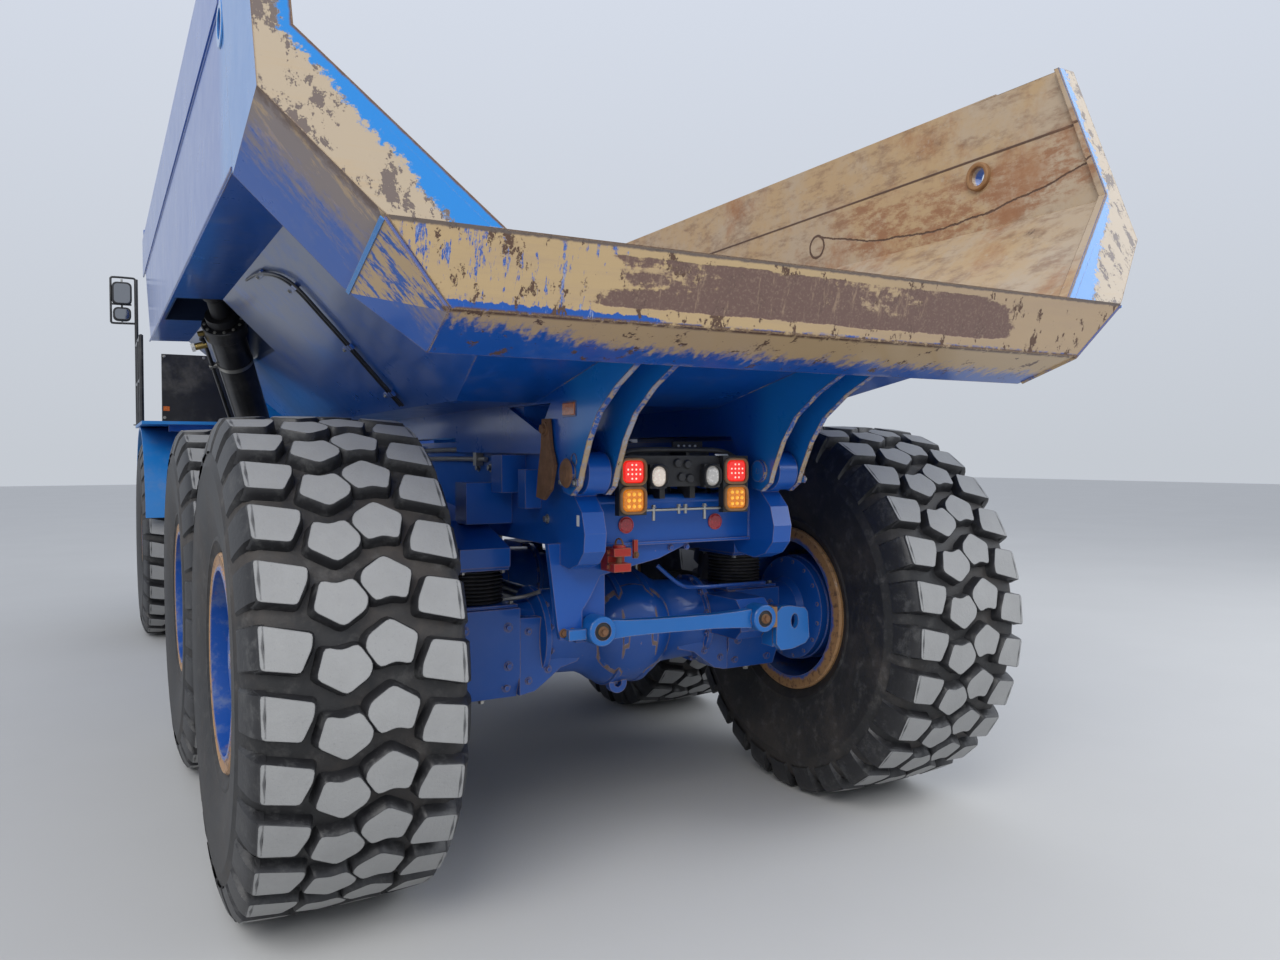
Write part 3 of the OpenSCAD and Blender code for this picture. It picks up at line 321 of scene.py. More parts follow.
def tyre_looks():
    """Dark carcass and groove walls, and the dusty grey tops of the tread blocks."""
    side = Look("tyre_side", (0.02, 0.02, 0.021), rough=0.55)
    side.over(side.noise(2.2, 7, 0.75).step(0.42, 0.72) * 0.45, (0.11, 0.09, 0.075), rough=0.85)
    side.over(side.noise(14, 6, 0.7, seed=2.0).step(0.5, 0.75) * 0.6, (0.12, 0.115, 0.11), rough=0.85)
    side.bump(side.noise(60, 4).swing(0.0012))
    top = Look("tyre_tread_top", (0.33, 0.33, 0.325), rough=0.7)
    top.tone(top.noise(5, 6, 0.7), 0.78, 1.15)
    top.over(top.noise(120, 3, 0.7).step(0.62, 0.74) * 0.4, (0.15, 0.15, 0.15))
    top.over(top.edges(0.006).step(0.02, 0.12) * 0.85, (0.05, 0.05, 0.052), rough=0.6)
    top.bump(top.noise(90, 4).swing(0.0015))
    edge = Look("tyre_tread_edge", (0.02, 0.02, 0.022), rough=0.42)
    edge.over(edge.noise(16, 6, 0.75).step(0.48, 0.75) * 0.4, (0.17, 0.17, 0.165), rough=0.85)
    edge.bump(edge.noise(70, 4).swing(0.001))
    return {"tyre_side": side.done(), "tyre_top": top.done(), "tyre_edge": edge.done()}


def rim_look():
    """Blue rim with rust towards the flanges."""
    look = Look("rim_blue", (0.012, 0.085, 0.38), rough=0.4, coat=0.3)
    grime = look.noise(6, 6, 0.7)
    look.tone(look.noise(2.2), 0.8, 1.15)
    look.over(grime.step(0.48, 0.62) * 0.45, (0.22, 0.27, 0.36), rough=0.8)
    # Distance from the wheel's axle, in the wheel's own frame
    far = (look.y * look.y + look.z * look.z).op("SQRT")
    rust = (far + look.noise(9, 6, 0.75, seed=5.0).swing(0.09)).step(0.352, 0.372)
    look.over(rust, (0.38, 0.2, 0.08), rough=0.8, height=0.0006)
    look.over(rust * look.noise(30, 5, 0.7, seed=6.0).step(0.5, 0.65) * 0.8, BROWN_RUST, rough=0.9)
    look.over((look.edges(0.006) * 9.0 + grime.swing(2.0)).step(0.6, 0.8) * 0.7, TAN, rough=0.7)
    return look.done()


def bed_look():
    """Blue outside; tan, brown and orange where loads have scoured it: inside, and on the tail's faces."""
    look = Look("bed_paint", BLUE, rough=0.3, coat=0.5, coat_rough=0.12, specular=0.25)
    x, y, z = look.x.abs(), look.y - REAR, look.z
    nx, ny, nz = look.facing()
    back, out = -ny, nx.abs()
    grime, fine, tiny = look.noise(5, 6, 0.7), look.noise(34, 5, 0.72), look.noise(110, 3, 0.7)
    across = look.noise(6, 6, 0.7, stretch=(0.25, 1.0, 3.0), seed=3.0)
    down = look.noise(14, 6, 0.75, stretch=(2.6, 1.0, 0.35), seed=7.0)
    chips = look.noise(11, 6, 0.72, stretch=(1.5, 1.2, 0.8), seed=5.0) + tiny.swing(0.2)
    edge = look.edges(0.009)
    # How far a point lies ahead of the rim's plane
    ahead = y - RIM_Y - (z - RIM_Z) * RIM_LEAN
    tail = y.step(-0.55, -0.75)
    look.tone(look.noise(0.9, 5, 0.6), 0.85, 1.12)
    look.uneven(grime, 0.2)
    look.over(grime.step(0.5, 0.8) * nz.step(-0.2, -0.8) * 0.25, DUST, rough=0.6)
    look.over(tail * out.step(0.97, 0.99) * 0.8, BRIGHT_BLUE)
    # Painted reflection: a pale grey-blue sheen of sky and ground on the hull's flanks, in patches and
    # thinner below
    hull = nz.step(-0.55, -0.65) * out.within(0.6, 0.8, 0.03) * y.step(-0.95, -0.8)
    look.over(hull * z.step(1.98, 2.45) * grime.step(0.25, 0.55) * 0.75, (0.21, 0.23, 0.27), rough=0.45)

    # Inside of the load space, from the planes of its flanks, floor, ramp, headboard and walls
    flank = z - x - FLANK_OFF
    floor = (z - FLOOR_Z).min(z - FLOOR_Z + (y + 0.3) * 0.2496)
    slope = y * -1.0 + 3.08 + (z - FLOOR_Z) * 1.0915
    inside = flank.min(floor).min(slope).min(x * -1.0 + WALL_X).step(-0.03, -0.012) * ahead.step(0.002, 0.006)
    wells = y.within(1.63, 2.55) * x.within(1.225, 1.705) * z.step(2.785, 2.78)
    inside = inside * wells.inv()
    look.over(inside, TAN, rough=0.55)
    look.over(inside * look.noise(1.3, 6, 0.7, seed=31.0).step(0.42, 0.62) * 0.7, BEIGE, rough=0.6)
    look.over(inside * across.step(0.45, 0.7) * 0.7, (0.24, 0.135, 0.08), rough=0.65, metal=0.2)
    look.over(inside * look.noise(1.6, 6, 0.7, seed=9.0).step(0.5, 0.68) * 0.85, ORANGE_RUST, rough=0.8)
    look.over(inside * fine.step(0.58, 0.68) * 0.5, BEIGE, rough=0.6)
    look.over(inside * look.noise(3.0, 7, 0.75, seed=12.0).step(0.63, 0.72) * 0.8, (0.09, 0.055, 0.04),
              rough=0.7)
    ramp = inside * y.step(-0.5, -1.1) * nz.step(0.8, 0.9)
    look.over(ramp * fine.step(0.3, 0.6) * 0.7, (0.5, 0.49, 0.45), rough=0.7)
    # Weld seam along each wall; burnt streaks, a crack and a patch on the right one
    wall = inside * out.step(0.9, 0.95)
    right = look.x.step(0.0, 0.5)
    seam = (z - 3.142 + y * 0.0136).abs().step(0.008, 0.003) * wall
    look.over(seam, BROWN_RUST, rough=0.8, height=0.004)
    bow = y + 0.41
    burnt = y.within(-1.5, 0.1, 0.5) * (z - 2.84 - bow * bow * 0.17).within(-0.04, 0.2, 0.06) * wall
    look.over(burnt * (across + fine.swing(0.4)).step(0.4, 0.62) * 0.8, (0.34, 0.16, 0.075), rough=0.8)
    crack = (z - 2.862 - bow * bow * 0.17 + grime.swing(0.05)).abs().step(0.007, 0.002) * wall
    look.over(crack * right * y.within(-1.3, 0.5), BROWN_RUST, rough=0.9, height=-0.003)
    a, b = y - 0.549, z - 2.952
    patch = (a * a + b * b).op("SQRT") + fine.swing(0.012)
    look.over(patch.within(0.058, 0.068, 0.004) * wall * right, BROWN_RUST, rough=0.8, height=0.003)

    # The rim's face: tan, with blue left along its inner edge and wider at its foot
    rim = back.step(0.8, 0.85) * nz.step(0.1, 0.15) * z.step(2.3, 2.312) * ahead.step(0.02, 0.01)
    inner = ((x + 1.182 - z) * 0.707).max(x - 1.63)
    foot = (z - 2.28).step(0.55, 0.0) * 0.07 + 0.026
    scoured = (inner - foot + fine.swing(0.11) + grime.swing(0.09)).step(-0.004, 0.01)
    look.over(rim, BRIGHT_BLUE, rough=0.3)
    look.over(rim * scoured, (0.42, 0.335, 0.235), rough=0.6, height=-0.0005)
    look.over(rim * scoured * across.step(0.5, 0.72) * 0.5, (0.44, 0.31, 0.17))
    look.over(rim * scoured * chips.step(0.54, 0.575), (0.15, 0.115, 0.1), rough=0.8, height=-0.001)
    look.over(rim * (inner + fine.swing(0.01)).step(0.012, 0.004), BROWN_RUST, rough=0.8)

    # The rib band below the rim's outer edge: tan and brown streaks that fade forward into blue
    rib = back.within(0.06, 0.5, 0.03) * nz.step(-0.45, -0.5) * out.step(0.6, 0.65) * tail
    sweep = look.noise(9, 6, 0.75, stretch=(1.0, 2.2, 0.6), seed=14.0)
    fade = (ahead + sweep.swing(0.7) + fine.swing(0.25)).step(0.36, 0.12)
    cap = rib * out.step(0.74, 0.72)
    look.over(rib * fade * 0.85, (0.3, 0.23, 0.16), rough=0.6)
    look.over(rib * fade * sweep.step(0.52, 0.62) * 0.8, TAN, rough=0.6)
    look.over(rib * (ahead + fine.swing(0.1)).step(0.06, 0.0) * 0.8, BROWN_RUST, rough=0.8)
    look.over(cap, TAN, rough=0.6)
    look.over(cap * sweep.step(0.48, 0.56), BLUE, rough=0.4)

    # The lip's back: blue shows through at the upper left and below, bare brown steel in the middle
    lip = back.step(0.8, 0.85) * nz.step(-0.05, -0.1) * tail * z.step(2.34, 2.33)
    left = (look.x + 0.62 + grime.swing(0.5)).step(0.05, -0.25)
    low_blue = (z + fine.swing(0.04) + grime.swing(0.03)).step(2.128, 2.112)
    kept = (down * left + low_blue * 0.58 + fine.swing(0.3)).step(0.565, 0.615)
    look.over(lip, BRIGHT_TAN, rough=0.55, height=-0.0005)
    look.over(lip * across.step(0.45, 0.7) * 0.7, (0.42, 0.3, 0.19))
    look.over(lip * (look.x + 0.2).step(-0.2, 0.9) * 0.6, (0.36, 0.26, 0.18))
    look.over(lip * kept, BLUE, rough=0.35)
    look.over(lip * kept * down.step(0.6, 0.66) * 0.7, (0.45, 0.5, 0.6), rough=0.5)
    look.over(lip * chips.step(0.585, 0.62), BROWN_RUST, rough=0.85, height=-0.0012)
    middle = look.x.within(-0.72, 0.75, 0.3) * (z - 2.13).within(0.02, 0.145, 0.03)
    bare = look.noise(2.6, 6, 0.65, stretch=(0.45, 1, 2.0),
                      seed=21.0) + fine.swing(0.3) + (middle - 1.0) * 0.5
    bare = bare.step(0.395, 0.455)
    look.over(lip * bare, PURPLE_RUST, rough=0.7, metal=0.2, height=-0.0008)
    look.over(lip * bare * tiny.step(0.52, 0.66) * 0.55, (0.3, 0.21, 0.15))
    look.over(lip * bare * down.step(0.56, 0.64) * 0.5, (0.4, 0.28, 0.18))
    # Its lower face: blue at the left, tan above and blue below to the right
    under = nz.step(-0.85, -0.9) * y.step(-1.19, -1.2)
    shift = look.x.step(-1.4, -0.5) * 0.13
    scraped = (y + 1.488 + fine.swing(0.1) - shift + down.swing(0.3)).step(0.08, 0.0)
    look.over(under * scraped, TAN, rough=0.6)
    look.over(under * chips.step(0.6, 0.63), BROWN_RUST, rough=0.8)
    crease = (z - 2.101).abs().step(0.01, 0.003) * tail * y.step(-1.46, -1.48) * fine.step(0.35, 0.5)
    look.over(crease, BROWN_RUST, rough=0.8)
    brim = tail * (z + fine.swing(0.012) - RIM_Z).abs().step(0.015, 0.008) * back.step(0.4, 0.5) * lip
    look.over(brim, (0.13, 0.1, 0.085), rough=0.7)

    # The hinge plates' rear edges are worn bright and tan
    plates = x.within(0.35, 0.53, 0.002) * y.within(-1.25, -0.5) * out.step(0.3, 0.1) * z.step(2.02, 2.0)
    look.over(plates * (fine + grime.swing(0.8)).step(0.42, 0.52) * 0.85, TAN, rough=0.55)
    look.over(plates * (tiny + (grime - 0.5)).step(0.5, 0.6) * 0.6, (0.32, 0.42, 0.62), rough=0.4)

    # Edges, most of all along the tail
    worn_edge = tail * 0.75 + 0.12
    look.over((edge * 9.0 + fine.swing(1.7) + grime.swing(1.2)).step(0.62, 0.76) * worn_edge, TAN, rough=0.6)
    look.over((edge * 8.0 + tiny.swing(2.0) + (grime - 0.5)).step(1.1, 1.25) * tail, BROWN_RUST, rough=0.85)
    # Painted shade: the hoist wells are painted a near-black navy
    look.over(wells, (0.008, 0.02, 0.06), rough=0.5)
    look.bump(look.noise(2.5, 3).swing(0.003))
    look.bump((fine - 0.5) * inside.max(lip) * 0.0008)
    return look.done()


M = {
    "frame": paint("frame_blue", BLUE, rough=0.34, wear=0.4, dust=0.07, coat=0.4, top=1.2),
    "axle": paint("axle_blue", (0.006, 0.075, 0.34), rough=0.38, wear=0.65, dust=0.12, coat=0.4, top=1.2),
    "link": paint("link_blue", (0.008, 0.14, 0.46), rough=0.36, wear=0.9, dust=0.1, coat=0.4),
    "cab": paint("cab_blue", BRIGHT_BLUE, rough=0.25, wear=0.1, dust=0.1, coat=0.8, top=1.0),
    "red": paint("tow_red", (0.42, 0.03, 0.02), rough=0.5, wear=0.7, coat=0.1),
    "black_paint": plain("black_paint", BLACK, rough=0.35, dust=0.2, coat=0.3),
    "deck": tread_plate("deck_plate", BRIGHT_BLUE),
    "steps": tread_plate("step_plate", BLACK),
    "plastic": plain("black_plastic", (0.02, 0.02, 0.022), rough=0.55, scale=60, depth=0.0003, dust=0.1),
    "cloth": plain("seat_cloth", (0.035, 0.035, 0.04), rough=0.9, scale=260, depth=0.0005),
    "block_rubber": plain("block_rubber", (0.014, 0.014, 0.016), rough=0.6, dust=0.2),
    "rod": rod_steel("hoist_rod_steel", HOIST_EYE, 0.26),
    "steer_rod": rod_steel("steer_rod_steel", STEER_EYE, 0.075),
    "chrome": plain("strut_chrome", (0.6, 0.61, 0.63), rough=0.2, metal=1.0, vary=0.1, depth=0.0, dust=0.3),
    "zinc": plain("zinc_steel", (0.42, 0.41, 0.38), rough=0.4, metal=0.9, dust=0.2),
    "rusty": plain("rusty_steel", (0.2, 0.1, 0.05), rough=0.8, metal=0.1, vary=0.6, scale=22, depth=0.0015),
    "flange": plain("worn_flange", (0.3, 0.16, 0.07), rough=0.75, vary=0.5, scale=18, depth=0.001, dust=0.3),
    "brass": plain("brass", (0.55, 0.4, 0.14), rough=0.35, metal=1.0),
    "iron": plain("engine_iron", (0.06, 0.06, 0.062), rough=0.65, metal=0.5, dust=0.4),
    "exhaust": plain("exhaust_steel", (0.22, 0.19, 0.17), rough=0.5, metal=0.8, vary=0.4),
    "white": plain("white_plastic", (0.72, 0.72, 0.7), rough=0.5, vary=0.06),
    "seal": plain("door_seal", (0.015, 0.015, 0.015), rough=0.7, scale=90, depth=0.0003),
    "mirror": plain("mirror_face", (0.28, 0.29, 0.31), rough=0.04, metal=1.0, vary=0.02, depth=0.0),
    "glass": glass(),
    "red_lens": lens("red_lens", (0.8, 0.018, 0.01), glow=0.8),
    "red_point": lens("red_point", (1.0, 0.42, 0.34), glow=1.6),
    "amber_lens": lens("amber_lens", (0.8, 0.24, 0.012), glow=0.35),
    "amber_point": lens("amber_point", (1.0, 0.5, 0.05), glow=0.6),
    "clear_lens": lens("clear_lens", (0.78, 0.74, 0.68), glow=0.12),
    "warm_lens": lens("warm_lens", (0.9, 0.78, 0.66), glow=0.35),
    "red_reflector": lens("red_reflector", (0.5, 0.025, 0.035)),
    "orange_reflector": lens("orange_reflector", (0.62, 0.15, 0.03)),
    **tyre_looks(),
    "rim": rim_look(),
    "bed": bed_look(),
}


# Shapes


def circle(n, r=1.0, start=0.0):
    """Points of a circle as pairs."""
    return [(r * math.cos(t), r * math.sin(t)) for t in (start + 2 * math.pi * i / n for i in range(n))]


class Shape:
    """Gathers simple solids into one mesh. Points count their place along the truck from the rear axle.

    What is given for the right side is built on the left while side is -1.
    """

    def __init__(self, *mats):
        self.names = list(mats)
        self.verts, self.faces, self.slots = [], [], []
        self.side = 1

    def over(self, p):
        """A point or direction on the side that is being built."""
        return Vector((self.side * p[0], p[1], p[2]))

    def add(self, verts, faces, mat=None):
        base = len(self.verts)
        self.verts += [Vector(v) for v in verts]
        self.faces += [[base + i for i in f] for f in faces]
        self.slots += [0 if mat is None else self.names.index(mat)] * len(faces)

    def box(self, lo, hi, mat=None):
        ends = list(zip(self.over(lo), self.over(hi)))
        (a, b, c), (d, e, f) = map(min, ends), map(max, ends)
        verts = [(a, b, c), (d, b, c), (d, e, c), (a, e, c), (a, b, f), (d, b, f), (d, e, f), (a, e, f)]
        faces = [(0, 3, 2, 1), (4, 5, 6, 7), (0, 1, 5, 4), (1, 2, 6, 5), (2, 3, 7, 6), (3, 0, 4, 7)]
        self.add(verts, faces, mat)

    def prism(self, points, push, mat=None):
        """A flat outline of 3-D points pushed along a vector."""
        n = len(points)
        low = [self.over(p) for p in points]
        push = self.over(push)
        area = sum((low[i].cross(low[(i + 1) % n]) for i in range(n)), Vector())
        if area.dot(push) < 0:
            low.reverse()
        self.rings([low, [p + push for p in low]], mat)

    def rings(self, rings, mat=None, close=True, caps=True):
        """Skins a list of rings, each with the same number of points."""
        n = len(rings[0])
        faces = []
        for base in range(0, n * (len(rings) - 1), n):
            for i in range(n if close else n - 1):
                j = (i + 1) % n
                faces.append((base + i, base + j, base + n + j, base + n + i))
        if caps:
            faces.append(tuple(range(n - 1, -1, -1)))
            faces.append(tuple((len(rings) - 1) * n + i for i in range(n)))
        self.add([p for ring in rings for p in ring], faces, mat)

    def turned(self, steps, centre, axis, mat, n, caps):
        """Rings of (radius, distance along the axis) pairs."""
        centre = self.over(centre)
        turn = self.over(axis).to_track_quat("Z", "Y")
        self.rings([[centre + turn @ Vector((x, y, h)) for x, y in circle(n, r)] for r, h in steps], mat,
                   caps=caps)

    def rod(self, p, q, r, mat=None, n=20, bevel=0.0):
        p, q = Vector(p), Vector(q)
        h = (q - p).length
        steps = ([(r - bevel, 0.0), (r, bevel), (r, h - bevel), (r - bevel, h)] if bevel
                 else [(r, 0.0), (r, h)])
        self.turned(steps, p, q - p, mat, n, True)

    def lathe(self, profile, centre, axis, mat=None, n=48, closed=True):
        self.turned(list(profile) + ([profile[0]] if closed else []), centre, axis, mat, n, False)

    def cap(self, profile, centre, axis, mat, n=40):
        """An open lathe, with its face closed to the axis."""
        self.lathe([(0.001, profile[0][1]), *profile], centre, axis, mat, n, closed=False)

    def tube(self, points, r, mat=None, n=10, smooth=6):
        """A round pipe through the points."""
        pts = [self.over(p) for p in points]
        path = []
        for i in range(len(pts) - 1):
            a, b, c, d = pts[max(i - 1, 0)], pts[i], pts[i + 1], pts[min(i + 2, len(pts) - 1)]
            for t in (k / smooth for k in range(smooth)):
                path.append(0.5 * ((2 * b) + (c - a) * t + (2 * a - 5 * b + 4 * c - d) * t * t
                                   + (3 * b - a - 3 * c + d) * t ** 3))
        path.append(pts[-1])
        rings = []
        up = Vector((0.13, 0.21, 1.0)).normalized()
        for i, p in enumerate(path):
            ahead = (path[min(i + 1, len(path) - 1)] - path[max(i - 1, 0)]).normalized()
            side = ahead.cross(up).normalized()
            other = side.cross(ahead).normalized()
            rings.append([p + side * x - other * y for x, y in circle(n, r)])
        self.rings(rings, mat)

    def bolt(self, p, d, r=0.012, mat=None, h=None):
        """A hexagon head on its washer."""
        p, d = Vector(p), Vector(d).normalized()
        h = r * 0.9 if h is None else h
        self.rod(p, p + d * (r * 0.25), r * 1.45, mat, n=16)
        self.rod(p + d * (r * 0.25), p + d * (r * 0.25 + h), r, mat, n=6)

    def bolt_ring(self, centre, axis, radius, count, r, mat=None, h=None):
        turn = self.over(axis).to_track_quat("Z", "Y")
        for x, y in circle(count, radius, math.pi / count):
            self.bolt(Vector(centre) + self.over(turn @ Vector((x, y, 0))), axis, r, mat, h)

    def ball(self, centre, r, mat=None, n=12):
        profile = [(r * math.sin(math.pi * k / n) + 1e-5, -r * math.cos(math.pi * k / n))
                   for k in range(n + 1)]
        self.lathe(profile, centre, (0, 0, 1), mat, n=2 * n, closed=False)

    def pad(self, centre, w, h, y0, y1, corner, mat=None, hole=0.0, edge=0.004):
        """A plate with round corners from y0 back to y1, or a frame as wide as hole."""
        cx, cz = self.side * centre[0], centre[1]

        def ring(y, inset):
            r, pts = max(corner - inset, 0.002), []
            for q, (sx, sz) in enumerate(((1, 1), (-1, 1), (-1, -1), (1, -1))):
                for t in (math.pi / 2 * (q + k / 4) for k in range(5)):
                    pts.append((cx + sx * (w / 2 - inset - r) + r * math.cos(t), y,
                                cz + sz * (h / 2 - inset - r) + r * math.sin(t)))
            return pts

        rings = [ring(y0, 0), ring(y1 + edge, 0), ring(y1, edge)]
        if hole:
            rings += [ring(y1, hole - edge), ring(y1 + edge, hole), ring(y0, hole), ring(y0, 0)]
        self.rings(rings, mat, caps=not hole)

    def opening(self, lo, hi, width, near, far, mat, side=False):
        """Four bars around an opening given by its corners, in a wall across the truck or in a side wall."""
        (a0, z0), (a1, z1) = lo, hi
        b0, b1 = a0 - width, a1 + width
        for p, q in (((b0, z0 - width), (b1, z0)), ((b0, z1), (b1, z1 + width)), ((b0, z0), (a0, z1)),
                     ((a1, z0), (b1, z1))):
            ends = ((p[0], near, p[1]), (q[0], far, q[1]))
            self.box(*(((y, x, z) for x, y, z in ends) if side else ends), mat)

    def make(self, name, body, slot=None, replaces=(), place=None, bevel=0.0, sharp=35):
        return put(self.mesh(name, 0 if place else REAR, sharp), name, body, slot, replaces, place, bevel)

    def mesh(self, name, shift=0.0, sharp=35):
        mesh = bpy.data.meshes.new(name)
        mesh.from_pydata([(v.x, v.y + shift, v.z) for v in self.verts], [], self.faces)
        for m in self.names:
            mesh.materials.append(M[m])
        mesh.polygons.foreach_set("material_index", self.slots)
        mesh.polygons.foreach_set("use_smooth", [True] * len(self.faces))
        mesh.update()
        mesh.set_sharp_from_angle(angle=math.radians(sharp))
        return mesh


def put(mesh, name, body, slot=None, replaces=(), place=None, bevel=0.0):
    obj = bpy.data.objects.new(name, mesh)
    bpy.context.scene.collection.objects.link(obj)
    if place is not None:
        obj.matrix_world = place
    if bevel:
        mod = obj.modifiers.new("rounded", "BEVEL")
        mod.width = bevel
        mod.segments = 2
        mod.limit_method = "ANGLE"
        mod.angle_limit = math.radians(40)
    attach(obj, body)
    if replaces:
        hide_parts(*replaces)
    return obj


# Tyres and rims

# Outlines of the blocks of one pitch: across the tread in metres, and along it in pitches
SHOULDER = [(-0.321, 0.0), (-0.167, 0.185), (-0.172, 0.38), (-0.206, 0.735), (-0.318, 0.64)]
CENTRE = [(-0.132, 0.405), (-0.081, 0.475), (-0.033, 0.395), (0.01, 0.7), (-0.001, 0.88), (-0.071, 1.11),
          (-0.159, 0.85)]
TURN = 1.165
# Half of the carcass as radius and place across, from the bead out
CARCASS = [(RIM_R, BEAD_X), (0.42, BEAD_X), (0.428, 0.324), (0.455, 0.333), (0.461, 0.341), (0.47, 0.341),
           (0.476, 0.338), (0.53, 0.352), (0.6, 0.365), (0.68, 0.3715), (0.735, 0.3715), (0.741, 0.3725),
           (0.749, 0.3725), (0.755, 0.369), (0.8, 0.36), (0.835, 0.345), (0.862, 0.325), (0.88, 0.295),
           (0.887, 0.2), (0.889, 0.0)]
# Top and foot of a shoulder's lug down the side, as place across and radius
LUG = [(0.306, 0.9245), (0.326, 0.917), (0.34, 0.897), (0.35, 0.87), (0.362, 0.83), (0.368, 0.8)]
LUG_FOOT = [(0.3, 0.882), (0.318, 0.872), (0.328, 0.858), (0.338, 0.84), (0.352, 0.812), (0.362, 0.79)]


def half_turn(outline):
    return [(-w, TURN - v) for w, v in outline]


def crown(w):
    """Radius of the tread's surface at w across it."""
    return TYRE_R - 0.01 * (abs(w) / 0.31) ** 2.2


def rounded(outline, radius):
    """The outline in metres with each corner cut to three points."""
    pitch = 2 * math.pi * TYRE_R / PITCHES
    pts = [Vector((w, v * pitch)) for w, v in outline]
    out = []
    for i, p in enumerate(pts):
        a, b = pts[i - 1] - p, pts[(i + 1) % len(pts)] - p
        cut = min(radius, a.length * 0.4, b.length * 0.4)
        p0, p1 = p + a.normalized() * cut, p + b.normalized() * cut
        out += [p0, p * 0.5 + (p0 + p1) * 0.25, p1]
    return out


def tyre_mesh():
    """A tyre about +X, which points outboard, with its tread in blocks."""
    shape = Shape("tyre_side", "tyre_top", "tyre_edge")
    profile = CARCASS + [(r, -x) for r, x in reversed(CARCASS[:-1])]
    shape.lathe(profile, (0, 0, 0), (1, 0, 0), "tyre_side", n=112)
    pitch = 2 * math.pi / PITCHES * TYRE_R

    def spot(w, along, radius):
        a = along / TYRE_R
        return (w, -radius * math.sin(a), radius * math.cos(a))

    for outline, corner in ((SHOULDER, 0.012), (CENTRE, 0.016), (half_turn(CENTRE), 0.016),
                            (half_turn(SHOULDER), 0.012)):
        flat = rounded(outline, corner)
        if sum(flat[i].cross(flat[(i + 1) % len(flat)]) for i in range(len(flat))) < 0:
            flat.reverse()
        mid = sum(flat, Vector((0, 0))) / len(flat)
        n = len(flat)
        for base in (k * pitch for k in range(PITCHES)):
            start = len(shape.verts)
            for grow, fall in ((0.002, 0.0), (0.006, 0.004), (0.012, 0.03), (0.02, 0.052)):
                for p in flat:
                    q = p + (p - mid).normalized() * grow
                    shape.verts.append(Vector(spot(q.x, base + q.y, crown(q.x) - fall)))
            shape.verts.append(Vector(spot(mid.x, base + mid.y, crown(mid.x))))
            for i, j in ((i, (i + 1) % n) for i in range(n)):
                shape.faces.append([start + i, start + 4 * n, start + j])
                shape.faces += [[a + i, a + j, a + n + j, a + n + i]
                                for a in (start, start + n, start + 2 * n)]
                shape.slots += [1, 2, 2, 2]
    for side, start, end in ((-1, 0.01, 0.625), (1, TURN - 0.625, TURN - 0.01)):
        for k in range(PITCHES):
            rings = []
            for i, ((w, r), (wu, ru)) in enumerate(zip(LUG, LUG_FOOT)):
                g = 0.03 * i / 5
                lo, hi = (k + start - g) * pitch, (k + end + g) * pitch
                rings.append([spot(side * wu, lo - 0.012, ru), spot(side * w, lo, r),
                              spot(side * w, (lo + hi) / 2, r), spot(side * w, hi, r),
                              spot(side * wu, hi + 0.012, ru)][::-side])
            shape.rings(rings, "tyre_edge", close=False, caps=False)
    return shape


def rim_mesh():
    """A rim about +X with its disc, nuts and hub."""
    shape = Shape("rim", "rusty", "zinc")
    f, middle, along = RIM_R + 0.045, (0, 0, 0), (1, 0, 0)
    shape.lathe([(0.348, -BEAD_X - 0.021), (f - 0.008, -BEAD_X - 0.021), (f, -BEAD_X - 0.013), (f, -BEAD_X),
                 (RIM_R - 0.0005, -BEAD_X), (RIM_R - 0.0005, BEAD_X), (f, BEAD_X), (f, BEAD_X + 0.013),
                 (f - 0.008, BEAD_X + 0.021), (f - 0.018, BEAD_X + 0.016), (0.366, BEAD_X + 0.016),
                 (0.362, BEAD_X + 0.021), (0.348, BEAD_X + 0.021), (0.348, 0.2), (0.352, 0.19),
                 (0.352, -0.19), (0.348, -0.2)], middle, along, "rim", n=72)
    shape.lathe([(0.3485, 0.04), (0.3485, 0.075), (0.3, 0.075), (0.292, 0.068), (0.25, 0.068),
                 (0.235, 0.075), (0.235, 0.225), (0.228, 0.249), (0.197, 0.251), (0.192, 0.262),
                 (0.142, 0.293), (0.05, 0.294), (0.001, 0.294)], middle, along, "rim", n=64, closed=False)
    shape.lathe([(0.3485, 0.04), (0.235, 0.04), (0.235, -0.06), (0.122, -0.06)], middle, along, "rim", n=64,
                closed=False)
    shape.bolt_ring((0.068, 0, 0), along, 0.272, 24, 0.015, "rusty", h=0.022)
    shape.bolt_ring((0.2485, 0, 0), along, 0.213, 12, 0.009, "zinc")
    shape.bolt((0.2935, 0.0, 0.0), along, 0.03, "rim", h=0.004)
    shape.bolt((0.285, 0.09, 0.04), along, 0.012, "zinc", h=0.006)
    shape.tube([(0.29, 0.33, 0.0), (0.31, 0.315, 0.0), (0.33, 0.3, 0.01)], 0.006, "zinc")
    return shape


def wheels():
    tyre, rim = tyre_mesh(), rim_mesh()
    for row, y in AXLES.items():
        for side, sign in SIDES:
            spin = 0.262 if row == "rear" and sign < 0 else random.Random(row + side).uniform(0, 0.22)
            turn = Matrix.Rotation(math.pi if sign < 0 else 0.0, 4, "Z")
            place = Matrix.Translation((sign * HALF_TRACK, REAR + y, AXLE_Z)) @ turn
            for shape, sharp, piece, slot, cad in ((tyre, 40, "tread", "tyre", "tyre"),
                                                   (rim, 35, "disc", "rim_paint", "rim")):
                mesh = shape.mesh(f"{piece}_{row}_{side}", sharp=sharp)
                mesh.transform(Matrix.Rotation(-spin * sign, 4, "X"))
                put(mesh, mesh.name, f"wheel_{row}_{side}", slot, [f"{cad}_{row}_{side}"], place)


# Tail


